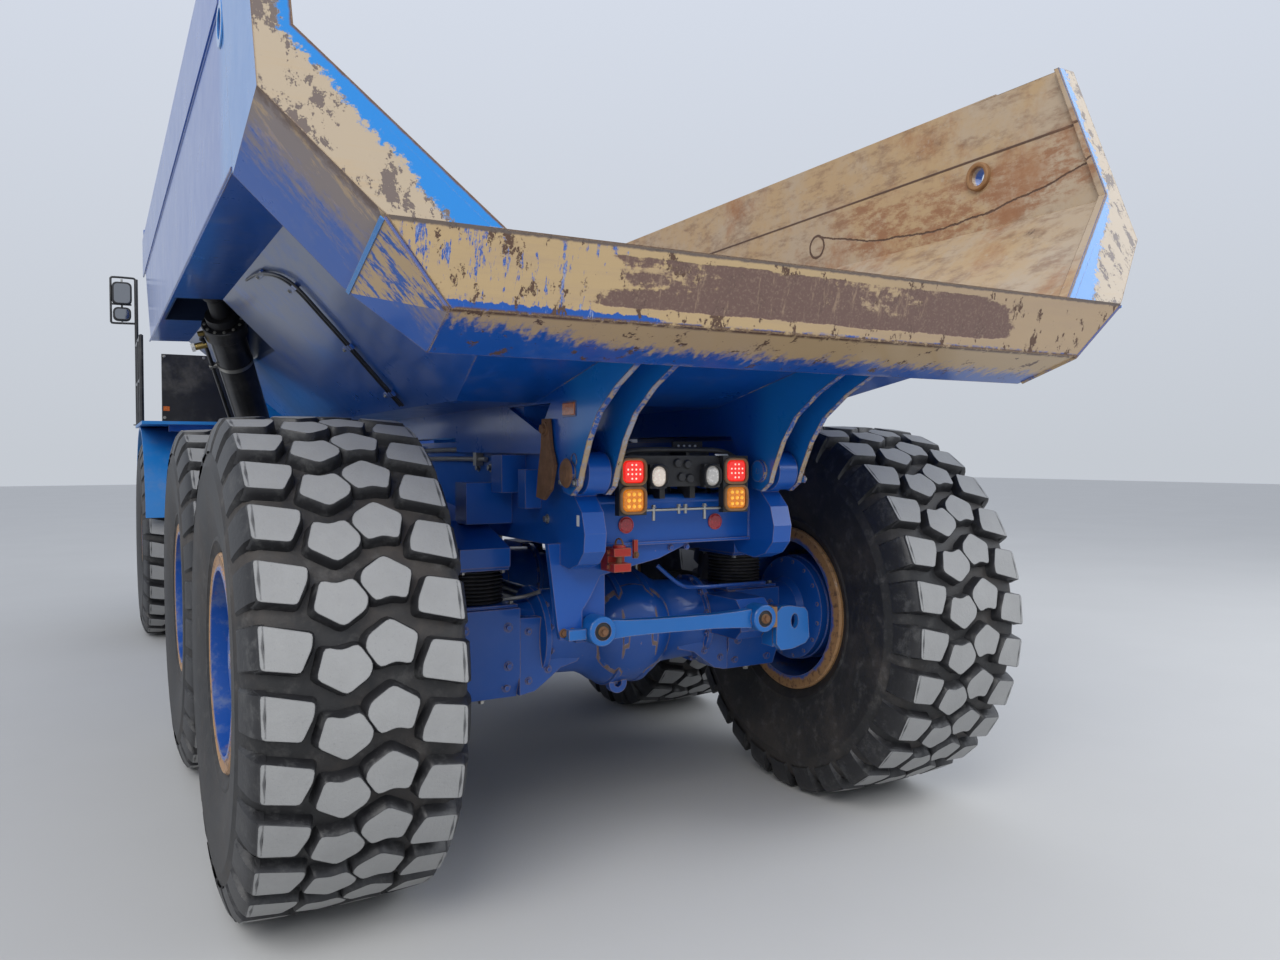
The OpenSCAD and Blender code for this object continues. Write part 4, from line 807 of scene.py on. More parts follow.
def tail_lamps():
    red, amber = Shape("red_lens", "red_point", "red_reflector"), Shape("amber_lens", "amber_point")
    clear, bezel = Shape("clear_lens", "warm_lens"), Shape("plastic", "flange")
    for sign in BOTH:
        red.side = amber.side = clear.side = bezel.side = sign
        x = 0.245
        # Height, lens, its points, how many a row, their size, and the rows whose ends have none
        for z, shape, point, dots, size, ends in ((1.652, red, "red_point", 4, 0.0042, (0, 3)),
                                                  (1.54, amber, "amber_point", 3, 0.008, ())):
            shape.pad((x, z), 0.094, 0.094, -0.634, -0.646, 0.024, edge=0.008)
            bezel.pad((x, z), 0.12, 0.11, -0.6, -0.648, 0.032, "flange", hole=0.011)
            bezel.pad((x, z), 0.106, 0.1, -0.6, -0.634, 0.028, "plastic")
            for i, k in ((i, k) for i in range(dots) for k in range(dots) if not (i in ends and k in ends)):
                dx, dz = ((j - (dots - 1) / 2) * 0.072 / dots for j in (i, k))
                shape.ball((x + dx, -0.645, z + dz), size, point, n=6)
        lamp = (0.128, 1.632)
        clear.pad(lamp, 0.066, 0.08, -0.634, -0.646, 0.03, "warm_lens" if sign < 0 else "clear_lens",
                  edge=0.01)
        bezel.pad(lamp, 0.086, 0.1, -0.6, -0.648, 0.04, "plastic", hole=0.009)
        red.cap([(0.026, 0.0095), (0.031, 0.006), (0.034, 0.006), (0.034, 0.0)], (0.216, -0.5205, 1.435),
                (0, -1, 0), "red_reflector", n=32)
    red.make("rear_lamps_red", "rear_frame", "red_lens", ["tail_lenses_red"])
    amber.make("rear_lamps_amber", "rear_frame", "amber_lens", ["tail_lenses_amber"])
    clear.make("rear_lamps_clear", "rear_frame", "clear_lens", ["tail_lenses_clear"])
    bezel.make("rear_lamp_bezels", "rear_frame", "black_plastic")


def tail_middle():
    """What shows between the hinge plates around the lamps."""
    shape = Shape("plastic", "zinc", "white", "iron")
    shape.rod((-0.197, -0.611, 1.498), (0.197, -0.611, 1.498), 0.006, "zinc", n=12)
    for x in (-0.138, -0.02, 0.012, 0.105):
        shape.rod((x, -0.611, 1.515), (x, -0.611, 1.455 if abs(x) > 0.1 else 1.48), 0.007, "zinc", n=10)
        shape.bolt((x, -0.611, 1.508), (0, 0, 1), 0.009, "zinc")
    shape.box((-0.055, -0.6, 1.6), (0.055, -0.52, 1.71), "plastic")
    for x, z in ((-0.022, 1.685), (0.026, 1.68), (-0.004, 1.628), (0.036, 1.622)):
        shape.cap([(0.015, 0.016), (0.019, 0.01), (0.019, 0.0)], (x, -0.6, z), (0, -1, 0), "iron", n=20)
    # Valve block of the bed's brake behind the lamps, with its pipes and fittings
    shape.box((-0.16, -0.44, 1.6), (0.24, -0.3, 1.74), "iron")
    for x in (-0.12 + i * 0.066 for i in range(6)):
        shape.rod((x, -0.44, 1.7), (x, -0.475, 1.7), 0.017, "iron", n=6)
        shape.tube([(x, -0.47, 1.7), (x, -0.5, 1.69), (x + 0.02, -0.5, 1.63), (x + 0.1, -0.42, 1.56),
                    (x + 0.1, -0.2, 1.56)], 0.01, "plastic", n=8)
    shape.box((0.05, -0.45, 1.742), (0.2, -0.44, 1.775), "plastic")
    for x in (0.077 + i * 0.028 for i in range(4)):
        shape.rod((x, -0.449, 1.757), (x, -0.456, 1.757), 0.005, "white", n=10)
    tag = [(0.16, 1.722), (0.225, 1.722), (0.24, 1.7), (0.215, 1.692), (0.185, 1.698)]
    shape.prism([(x, -0.602, z) for x, z in tag], (0, -0.003, 0), "white")
    shape.box((0.045, -0.565, 1.7), (0.06, -0.44, 1.745), "plastic")
    shape.tube([(-0.3, -0.57, 1.7), (-0.22, -0.58, 1.735), (0.0, -0.57, 1.74), (0.2, -0.58, 1.735),
                (0.3, -0.57, 1.7)], 0.011, "plastic")
    # Blank label on the left rail
    shape.box((-0.488, -0.655, 1.447), (-0.4895, -0.632, 1.489), "white")
    shape.make("tail_fittings", "rear_frame", "black_plastic", bevel=0.002)

    beam = Shape("frame", "rusty", "red")
    for beam.side in BOTH:
        beam.tube([(0.392, -0.522, 1.36), (0.392, -0.523, 1.45), (0.392, -0.522, 1.53)], 0.006, "frame", n=8)
    beam.rod((-0.394, -0.503, 1.535), (0.394, -0.503, 1.535), 0.022, "frame", n=24)
    beam.box((-0.394, -0.53, 1.352), (0.394, -0.519, 1.364), "frame")
    # Tow pin with its head and ring, and the lug beside it
    beam.cap([(0.022, 0.012), (0.026, 0.006), (0.026, 0.0)], (-0.275, -0.575, 1.35), (0, 0, 1), "red", n=24)
    beam.rod((-0.275, -0.575, 1.2575), (-0.275, -0.575, 1.349), 0.0125, "rusty", n=20)
    beam.lathe([(0.02 + a, b) for a, b in circle(8, 0.004)], (-0.275, -0.575, 1.366), (1, 0.3, 0), "rusty",
               n=24)
    beam.box((-0.19, -0.545, 1.3), (-0.172, -0.53, 1.375), "red")
    beam.bolt((-0.181, -0.545, 1.315), (0, -1, 0), 0.009, "rusty")
    for z in (1.275, 1.333):
        beam.bolt((-0.3135, -0.56, z), (-1, 0, 0), 0.009, "red")
    for x in (-0.43, -0.38, 0.02, 0.1):
        beam.bolt((x, -0.48, 1.33), (0, -1, 0), 0.01, "frame")
    beam.make("tail_beam_details", "rear_frame", "frame_paint")


def hinges():
    shape = Shape("bed", "rusty", "orange_reflector", "zinc")
    face = 0.5275
    for shape.side in BOTH:
        # Pivot pins with their keeper plates
        shape.cap([(0.03, 0.014), (0.038, 0.008), (0.05, 0.006), (0.056, 0.0)], (0.5455, -0.66, 1.65),
                  (1, 0, 0), "rusty", n=32)
        shape.prism([(face, -0.735, 1.63), (face, -0.585, 1.63), (face, -0.585, 1.6), (face, -0.735, 1.6)],
                    (0.008, 0, 0), "bed")
        for y in (-0.72, -0.6):
            shape.bolt((0.5355, y, 1.615), (1, 0, 0), 0.01, "zinc")
        shape.box((face, -0.705, 1.868), (0.5335, -0.6, 1.914), "orange_reflector")
        shape.box((0.527, -0.712, 1.861), (0.53, -0.593, 1.921), "bed")
        # Rim of the lifting hole
        shape.lathe([(0.02, 0.0), (0.02, 0.004), (0.026, 0.004), (0.026, 0.0)], (face, -0.693, 1.7),
                    (1, 0, 0), "bed", n=24)
    # Rusty bed prop, stowed on the left plate
    outline = [(-0.5, 1.86), (-0.521, 1.753), (-0.557, 1.68), (-0.519, 1.583), (-0.452, 1.541),
               (-0.383, 1.551), (-0.404, 1.659), (-0.43, 1.75), (-0.44, 1.86)]
    shape.prism([(-0.533, y, z) for y, z in outline], (-0.016, 0, 0), "rusty")
    shape.bolt((-0.549, -0.47, 1.82), (-1, 0, 0), 0.02, "rusty", h=0.012)
    shape.box((-face, -0.49, 1.8), (-0.534, -0.45, 1.84), "rusty")
    shape.make("hinge_details", "bed", "body_paint", bevel=0.0015)


# Corners of the lip's end plates
LIP_CAP = [(1.448, -1.546, 2.312), (1.261, -1.484, 2.101), (1.245, -1.244, 2.017), (1.43, -1.085, 2.196)]


def bed_details():
    """End plates of the lip, bushes in the walls, seams and the pipes clamped along the hull."""
    shape = Shape("bed", "cab", "flange", "black_paint", "zinc")
    for shape.side in BOTH:
        corners = [Vector(p) for p in LIP_CAP]
        out = (corners[1] - corners[0]).cross(corners[3] - corners[0]).normalized()
        out = -out if out.x < 0 else out
        shape.prism([c + out * 0.0005 for c in corners], out * 0.012, "bed")
        wide = out.cross((corners[3] - corners[0]).normalized()).normalized() * 0.007
        a, b = corners[0] + out * 0.012, corners[3] + out * 0.012
        shape.prism([a - wide, a + wide, b + wide, b - wide], out * 0.004, "cab")
        # Bush of the bore in the wall, and its collar outside
        shape.lathe([(0.046, 0.0), (0.046, 0.02), (0.052, 0.024), (0.062, 0.024), (0.068, 0.018),
                     (0.068, 0.0)], (WALL_X - 0.0002, TAIL_BORE_Y, TAIL_BORE_Z), (-1, 0, 0), "flange", n=40)
        shape.lathe([(0.046, 0.0), (0.046, 0.005), (0.07, 0.005), (0.074, 0.0)],
                    (1.7255, TAIL_BORE_Y, TAIL_BORE_Z), (1, 0, 0), "cab", n=40)
        # Seams along the outside of the side walls, and a wear bar along the top edge
        for x, z, r, ends in ((1.7255, 3.118, 0.004, (-0.6, 2.0, 4.4)),
                              (1.7245, 2.552, 0.006, (-0.9, 2.0, 3.9))):
            shape.tube([(x, y, z) for y in ends], r, "bed", n=8, smooth=2)
        shape.box((1.662, -0.75, 3.4203), (1.722, 4.6, 3.428), "bed")

        def on_flank(x, y, lift=0.016):
            return (x + lift * 0.7, y, x + HULL_OFF - lift * 0.7)

        pipe = ((1.46, 0.75), (1.44, 0.45), (1.37, 0.2), (1.22, 0.205), (1.0, 0.27), (0.88, 0.3))
        for shift, r in ((0.0, 0.0065), (0.045, 0.005)):
            shape.tube([on_flank(x, y + shift) for x, y in pipe], r, "black_paint")
        up = Vector((0.707, 0, -0.707))
        wide = Vector((0.707, 0, 0.707)) * 0.012
        for x, y in ((1.44, 0.48), (1.35, 0.23), (1.12, 0.26), (0.93, 0.315)):
            a, b = Vector(on_flank(x, y - 0.04, 0.006)), Vector(on_flank(x, y + 0.1, 0.006))
            shape.prism([a - wide, b - wide, b + wide, a + wide], up * 0.014, "bed")
            shape.bolt((a + b) / 2 + up * 0.014 + Vector((0, 0.045, 0)), up, 0.007, "zinc")
        # Ribs of the headboard, outside
        for x in (0.37, 1.1):
            foot, head = ((3.112 + (z - 1.93) * 1.0537, z) for z in (2.35, 3.33))
            shape.prism([(x - 0.035, *foot), (x + 0.035, *foot), (x + 0.035, *head), (x - 0.035, *head)],
                        (0, 0.035, -0.033), "bed")
    shape.make("bed_details", "bed", "body_paint", bevel=0.0015)


# Axles, links and springs

# Half of an axle's housing as radius and place across, from the middle out to the spindle's end
HOUSING = [(0.262, 0.0), (0.262, 0.055), (0.268, 0.06), (0.268, 0.085), (0.258, 0.09), (0.24, 0.13),
           (0.212, 0.17), (0.192, 0.215), (0.186, 0.34), (0.186, 0.395), (0.205, 0.4), (0.205, 0.425),
           (0.15, 0.44), (0.136, 0.52), (0.136, 0.97), (0.16, 0.995), (0.215, 1.005), (0.25, 1.015),
           (0.262, 1.022), (0.262, 1.06), (0.268, 1.064), (0.268, 1.09), (0.262, 1.094), (0.262, 1.15),
           (0.268, 1.154), (0.268, 1.235), (0.255, 1.272), (0.15, 1.273), (0.1195, 1.274), (0.1195, 1.475),
           (0.001, 1.475)]
# Face of the rear axle between pad and middle, ear plate of its lateral rod, and the ear's oval hole
JOINING_FACE = [(0.531, 1.03), (0.531, 0.7), (0.46, 0.712), (0.4, 0.755), (0.34, 0.8), (0.26, 0.82),
                (0.22, 0.9), (0.26, 1.02)]
EAR = [(0.548, 0.846), (0.639, 0.847), (0.736, 0.874), (0.724, 1.026), (0.616, 1.044), (0.548, 1.04)]
EAR_HOLE, EAR_HOLE_W, EAR_HOLE_H = Vector((0.65, 0.9725)), 0.02, 0.033


def housing(shape, y0, nose):
    """Axle housing, about the axle's middle at y0, with its pinion towards nose."""
    for shape.side in BOTH:
        shape.lathe(HOUSING, (0, y0, AXLE_Z), (1, 0, 0), "axle", n=64, closed=False)
        shape.bolt_ring((0.398, y0, AXLE_Z), (-1, 0, 0), 0.196, 12, 0.01, "axle")
        shape.bolt_ring((1.022, y0, AXLE_Z), (-1, 0, 0), 0.243, 16, 0.009, "axle", h=0.01)
        # Pad, with the plate and bolts of its lower clamp
        pad = [(-0.17, 1.0748), (-0.17, 0.8), (-0.12, 0.69), (0.12, 0.69), (0.17, 0.8), (0.17, 1.0748)]
        shape.prism([(0.53, y0 + y, z) for y, z in pad], (0.3, 0, 0), "axle")
        for x in (0.585, 0.775):
            for z in (0.737, 0.835, 0.997):
                for face in (-1, 1):
                    drop = 0.05 * max(0.0, (0.8 - z) / 0.11)
                    shape.bolt((x, y0 + face * (0.17 - drop), z), (0, face, 0), 0.013, "axle")
        shape.bolt((0.68, y0 - 0.1, 0.69), (0, 0, -1), 0.014, "zinc")
    # Pinion case and its cover on the other side
    shape.cap([(0.075, 0.392), (0.08, 0.382), (0.118, 0.375), (0.15, 0.36), (0.15, 0.33), (0.135, 0.325),
               (0.15, 0.23), (0.195, 0.15)], (0, y0, AXLE_Z), (0, nose, 0), "axle", n=48)
    shape.bolt_ring((0, y0 + nose * 0.362, AXLE_Z), (0, nose, 0), 0.133, 10, 0.009, "axle")
    shape.lathe([(0.001, 0.268), (0.1, 0.262), (0.165, 0.235), (0.192, 0.195), (0.205, 0.18), (0.205, 0.16)],
                (0, y0, AXLE_Z), (0, -nose, 0), "axle", n=48, closed=False)
    shape.bolt_ring((0.0, y0, AXLE_Z), (1, 0, 0), 0.2605, 18, 0.006, "axle", h=0.004)
    # Breather and drain plug
    shape.rod((0.12, y0, AXLE_Z + 0.22), (0.12, y0, AXLE_Z + 0.29), 0.01, "zinc", n=10)
    shape.lathe([(0.018, -0.02), (0.046, -0.02), (0.046, 0.02), (0.018, 0.02)], (-0.038, y0 - 0.1, 0.69),
                (0, 1, 0), "axle", n=28)
    shape.bolt((-0.038, y0 - 0.085, 0.69), (0, -1, 0), 0.013, "axle")
    shape.box((-0.06, y0 - 0.1, 0.69), (-0.016, y0 - 0.02, 0.74), "axle")


def to_edge(outline, middle, way):
    """How far it is from the middle to the outline along a unit vector."""
    pts = [Vector(p) - middle for p in outline]
    best = 1.0
    for i, p in enumerate(pts):
        e = pts[(i + 1) % len(pts)] - p
        det = e.x * way.y - e.y * way.x
        if abs(det) > 1e-9:
            t, s = (e.x * p.y - e.y * p.x) / det, (way.x * p.y - way.y * p.x) / det
            if t > 0 and -1e-6 <= s <= 1 + 1e-6:
                best = min(best, t)
    return best


def rear_axle_parts(shape):
    for shape.side in BOTH:
        shape.prism([(x, -0.16, z) for x, z in JOINING_FACE], (0, 0.135, 0), "axle")
        for x, z in ((0.49, 0.76), (0.49, 0.97), (0.4, 0.8)):
            shape.bolt((x, -0.16, z), (0, -1, 0), 0.011, "axle")
    bracket = [(-0.14, 0.89), (-0.14, 1.07), (-0.4, 1.07), (-0.44, 1.03), (-0.44, 0.93), (-0.4, 0.89)]
    shape.prism([(0.41, y, z) for y, z in bracket], (0.16, 0, 0), "axle")
    # Ear plate, as rings between its oval hole and its outline
    hole, rim = [], []
    for i in range(24):
        t = math.pi / 2 - i * math.pi / 12
        p = EAR_HOLE + Vector((EAR_HOLE_W * math.cos(t), EAR_HOLE_H * math.sin(t)))
        way = (p - EAR_HOLE).normalized()
        hole.append(p)
        rim.append(EAR_HOLE + way * to_edge(EAR, EAR_HOLE, way))
    rings = [[(p.x, y, p.y) for p in reversed(ring)] for ring, y in
             ((hole, -0.52), (rim, -0.52), (rim, -0.49), (hole, -0.49), (hole, -0.52))]
    shape.rings(rings, "link", caps=False)
    shape.box((0.548, -0.491, 0.86), (0.568, -0.41, 1.03), "link")
    shape.box((0.7, -0.491, 0.88), (0.725, -0.165, 1.01), "axle")
    # Pipes clamped over the housing
    shape.tube([(0.06, -0.3, 1.235), (0.16, -0.32, 1.15), (0.26, -0.3, 1.125), (0.5, -0.26, 1.115),
                (0.72, -0.2, 1.105)], 0.009, "axle")
    shape.tube([(-0.75, 0.02, 1.085), (-0.5, -0.05, 1.1), (-0.42, -0.12, 1.13)], 0.009, "zinc")


def axles():
    for row, nose in (("rear", 1), ("center", 1), ("front", -1)):
        y0 = AXLES[row]
        shape = Shape("axle", "zinc", "link")
        housing(shape, y0, nose)
        if row == "center":
            shape.rod((0, y0 - 0.3, AXLE_Z), (0, y0 - 0.2, AXLE_Z), 0.09, "axle", n=40, bevel=0.006)
            shape.box((0.41, y0 + 0.14, 0.89), (0.57, y0 + 0.44, 1.135), "axle")
        if row == "rear":
            rear_axle_parts(shape)
        shape.make(f"{row}_axle_housing", "front" if row == "front" else "rear_frame", "axle_paint",
                   [f"{row}_axle"], bevel=0.004)


def links():
    """Lateral rods of the bogie's axles, and the rods that push them."""
    shape = Shape("link", "rusty", "block_rubber", "axle", "flange")
    bar = ((0.055, 0.04), (0.13, 0.034), (0.25, 0.031), (0.55, 0.031), (0.67, 0.036), (0.745, 0.042))
    for shape.side in BOTH:
        for y, y0, y1 in ((y, *ends) for ends in ((0.895, 0.11), (1.075, 1.86)) for y in ends):
            shape.lathe([(0.001, 0.0), (0.046, 0.0), (0.05, 0.004), (0.05, 0.038), (0.046, 0.042),
                         (0.001, 0.042)], (0.488, y, 0.745), (1, 0, 0), "axle", n=36, closed=False)
            shape.rod((0.509, y0, 0.745), (0.509, y1, 0.745), 0.02, "axle", n=20)
    for y, z in ((-0.495, 1.0), (2.465, 1.065)):
        for at in ((-0.33, y, z + 0.015), (0.47, y, z)):
            shape.lathe([(0.036, -0.048), (0.056, -0.048), (0.06, -0.044), (0.06, 0.044), (0.056, 0.048),
                         (0.036, 0.048)], at, (0, 1, 0), "link", n=36)
            shape.lathe([(0.02, -0.046), (0.037, -0.043), (0.037, 0.043), (0.02, 0.046)], at, (0, 1, 0),
                        "block_rubber", n=28)
            pin = Vector((0, 0.055, 0))
            shape.rod(Vector(at) - pin, Vector(at) + pin, 0.021, "flange", n=24, bevel=0.002)
            shape.bolt((at[0], y - 0.0545, at[2]), (0, -1, 0), 0.014, "rusty", h=0.008)
        # Flat bar that flares into both rings
        points = [(-0.33 + t, y - 0.022, z + 0.015 - 0.015 * t / 0.8 + h * up)
                  for up, row in ((1, bar), (-1, bar[::-1])) for t, h in row]
        shape.prism(points, (0, 0.044, 0), "link")
    # Bolts through the eyes and the frame's bracket, with the pin's block worn bright
    shape.box((-0.47, -0.52, 0.985), (-0.392, -0.4805, 1.028), "link")
    shape.box((0.505, -0.53, 0.955), (0.545, -0.455, 1.045), "flange")
    shape.rod((-0.47, -0.452, 1.005), (-0.395, -0.452, 1.005), 0.013, "rusty", n=12)
    for x in (-0.475, -0.437):
        shape.bolt((x, -0.4805, 1.012), (0, -1, 0), 0.013, "rusty")
    shape.make("bogie_rods", "rear_frame", "axle_paint", ["axle_links"], bevel=0.002)


def springs():
    """Rubber stacks with their plates and bolts, and what is fixed to the rails beside them."""
    shape = Shape("block_rubber", "axle", "zinc")
    low, high, folds, x = 1.089, 1.236, 9, 0.68
    h = (high - low) / folds
    profile = [(r, low + h * (i + t)) for i in range(folds)
               for r, t in ((0.108, 0), (0.126, 0.25), (0.13, 0.5), (0.126, 0.75))]
    for shape.side in BOTH:
        for y in (AXLES["rear"], AXLES["center"]):
            shape.lathe([(0.001, low), *profile, (0.108, high), (0.001, high)], (x, y, 0), (0, 0, 1),
                        "block_rubber", n=48, closed=False)
            for z0, z1, way, half_x, half_y in ((1.0752, low, 1, 0.146, 0.15),
                                                (high, 1.2498, -1, 0.11, 0.148)):
                shape.box((x - half_x, y - half_y, z0), (x + half_x, y + half_y, z1), "axle")
                for dx, dy in ((-1, -1), (-1, 1), (1, -1), (1, 1)):
                    at = (x + dx * (half_x - 0.022), y + dy * (half_y - 0.022), z1 if way > 0 else z0)
                    shape.bolt(at, (0, 0, way), 0.011, "zinc")
    shape.make("rubber_springs", "rear_frame", "block_rubber", ["suspension_blocks"], bevel=0.0015)

    rail = Shape("frame", "zinc")
    side = 0.4885
    for rail.side in BOTH:
        # Pivot caps of the equalizer beams
        rail.cap([(0.055, 0.018), (0.068, 0.012), (0.085, 0.01), (0.092, 0.0)], (0.8205, 0.985, 1.345),
                 (1, 0, 0), "frame")
        rail.bolt_ring((0.829, 0.985, 1.345), (1, 0, 0), 0.076, 8, 0.008, "zinc")
        # Boxes welded to the rail above the rear spring
        for lo, hi in (((0.02, 1.42), (0.7, 0.16, 1.6)), ((-0.14, 1.56), (0.6, -0.02, 1.72)),
                       ((-0.3, 1.5), (0.56, -0.22, 1.66))):
            rail.box((side, *lo), hi, "frame")
        for y in (-0.36, 0.28, 0.44):
            for z in (1.66, 1.46):
                rail.bolt((side, y, z), (1, 0, 0), 0.014, "zinc")
        for heights in ((1.745, 1.745, 1.72, 1.7), (1.7, 1.7, 1.68, 1.66)):
            rail.tube([(0.505, y, z) for y, z in zip((0.3, 1.2, 2.4, 3.2), heights)], 0.012, "zinc", n=8)
        for y in (0.4, 1.4, 2.4):
            rail.box((side, y - 0.02, 1.67), (0.525, y + 0.02, 1.77), "zinc")
    rail.make("rail_details", "rear_frame", "frame_paint", bevel=0.004)


def hoists():
    """Pipes, clamps and glands of the hoist cylinders."""
    a, b = Vector(HOIST_BASE), Vector(HOIST_EYE)
    d = (b - a).normalized()
    top = (b - a).length - 0.23
    out = Vector((1, -0.2, 0))
    out = (out - d * out.dot(d)).normalized()

    def at(along, off=0.0):
        return a + d * along + out * off

    for side, sign in SIDES:
        shape = Shape("black_paint", "brass", "zinc", "white")
        shape.side = sign
        shape.lathe([(0.115, -0.088), (0.119, -0.084), (0.119, -0.006), (0.115, -0.002)], at(top), d,
                    "black_paint")
        shape.bolt_ring(at(top + 0.0005), d, 0.1, 12, 0.007, "zinc", h=0.006)
        shape.lathe([(0.101, 0.0), (0.108, 0.004), (0.108, 0.036), (0.101, 0.04)], at(0.14), d, "black_paint")
        # Supply pipe along the barrel, with its valve, clamps and unions
        shape.tube([at(top - 0.05, 0.115), at(top - 0.09, 0.1408), at(top - 0.2, 0.128), at(0.6, 0.128),
                    at(0.2, 0.128), at(0.165, 0.1)], 0.012, "black_paint")
        for along in (top - 0.3, 0.75, 0.35):
            shape.lathe([(0.1005, -0.012), (0.104, -0.012), (0.104, 0.012), (0.1005, 0.012)], at(along), d,
                        "zinc", n=40)
            shape.rod(at(along, 0.1), at(along, 0.146), 0.014, "zinc", n=12)
        shape.rod(at(top - 0.045, 0.112), at(top - 0.045, 0.15), 0.016, "brass", n=6)
        shape.rod(at(top - 0.13, 0.118), at(top - 0.13, 0.185), 0.02, "brass", n=16, bevel=0.003)
        shape.rod(at(top - 0.13, 0.185), at(top - 0.13, 0.205), 0.026, "white", n=6)
        shape.make(f"hoist_pipes_{side}", f"hoist_barrel_{side}", "black_paint")


# Cab, nose and decks

CAB_SIDE = 0.8 + SKIN
CAB_BACK = 5.4597
SEAL_W = 0.026


def cab():
    shape = Shape("cab", "seal", "plastic", "clear_lens", "black_paint", "white")
    for shape.side in BOTH:
        shape.opening((6.55, 2.57), (6.76, 3.48), SEAL_W, CAB_SIDE, CAB_SIDE + 0.008, "seal", side=True)
        # Lower panel with its pressed edge, grab rail, work lamps, and lamps on the back corner
        shape.box((CAB_SIDE, 6.52, 2.03), (0.812, 7.08, 2.5), "cab")
        shape.tube([(0.803, 7.02, 2.25), (0.86, 7.02, 2.27), (0.86, 7.02, 2.8), (0.86, 6.99, 3.3),
                    (0.803, 6.97, 3.32)], 0.014, "black_paint")
        for x in (0.3, 0.6):
            shape.pad((x, 3.665), 0.15, 0.095, 5.462, 5.42, 0.02, "plastic")
            shape.pad((x, 3.665), 0.125, 0.072, 5.421, 5.416, 0.015, "clear_lens", edge=0.003)
        shape.box((0.36, 7.012, 2.6), (0.28, 7.17, 2.635), "plastic")
        for z in (2.64, 2.76):
            shape.rod((0.803, 5.5, z), (0.835, 5.5, z), 0.02, "white", n=16, bevel=0.004)
    shape.opening((5.58, 2.57), (6.46, 3.48), SEAL_W, CAB_SIDE, CAB_SIDE + 0.008, "seal", side=True)
    # Rear window's frame and the ribs of the back wall
    shape.opening((-0.69, 2.57), (0.69, 3.48), 0.03, 5.4515, CAB_BACK, "seal")
    for z in (2.06 + i * 0.09 for i in range(5)):
        shape.box((-0.7, 5.452, z), (0.7, CAB_BACK, z + 0.03), "cab")
    # Wipers on the slanting windscreen
    slant = (Vector((0, 6.905, 3.585)) - Vector((0, 7.1605, 2.6))).normalized()
    for x in (-0.3, 0.3):
        p = Vector((x, 7.165, 2.605))
        tip = Vector((x + 0.22, 7.168, 2.605)) + slant * 0.62
        lift = Vector((0, 0.008, 0))
        shape.rod(p, p + (tip - p) * 0.96 + lift * 1.5, 0.006, "black_paint", n=8)
        shape.rod(tip - slant * 0.5 + lift, tip + slant * 0.06 + lift, 0.009, "seal", n=8)
        shape.rod(p - lift * 1.5, p + lift * 2, 0.022, "plastic", n=16)
    # Roof: raised panel and hatch seams
    shape.box((-0.62, 5.66, 3.715), (0.62, 6.6, 3.7395), "cab")
    for y in (5.8, 6.46):
        shape.box((-0.5, y, 3.7395), (0.5, y + 0.015, 3.7399), "seal")
    shape.make("cab_trim", "front", "blue_paint", bevel=0.002)

    door = Shape("seal", "zinc", "cab")
    door.opening((5.67, 2.45), (6.37, 3.39), SEAL_W, -CAB_SIDE, -CAB_SIDE - 0.008, "seal", side=True)
    door.box((-CAB_SIDE, 5.62, 2.08), (-0.806, 6.4, 2.11), "seal")
    for z in (2.2, 2.33):
        door.prism([(-CAB_SIDE, 5.66, z), (-CAB_SIDE, 6.36, z), (-CAB_SIDE, 6.36, z + 0.035),
                    (-CAB_SIDE, 5.66, z + 0.035)], (-0.005, 0, 0), "cab")
    door.rod((-0.831, 6.383, 2.45), (-0.8185, 6.383, 2.45), 0.012, "zinc", n=16)
    door.make("door_trim", "door", "blue_paint", bevel=0.0015)


def cushion(name, centre, size, power=0.38, across=0, place=None):
    """A crowned pad with sewn channels across it."""
    cx, cy, cz = centre
    sx, sy, sz = (s / 2 for s in size)
    shape = Shape("cloth")

    def bend(v, p):
        return math.copysign(abs(v) ** p, v)

    n, m = 40, 20
    rings = []
    for v in (math.pi * i / m - math.pi / 2 for i in range(1, m)):
        wide = bend(math.cos(v), power)
        rings.append([(cx + sx * wide * bend(math.cos(u), power), cy + sy * wide * bend(math.sin(u), power),
                       cz + sz * bend(math.sin(v), power * 1.6))
                      for u in (2 * math.pi * k / n for k in range(n))])
    shape.rings(rings, "cloth")
    for k in range(1, across):
        y = cy - sy * 0.8 + 1.6 * sy * k / across
        shape.tube([(cx - sx * 0.86, y, cz + sz * 0.93), (cx, y, cz + sz),
                    (cx + sx * 0.86, y, cz + sz * 0.93)], 0.004, n=8)
    obj = shape.make(name, "front", "cab_plastic", place=place, sharp=60)


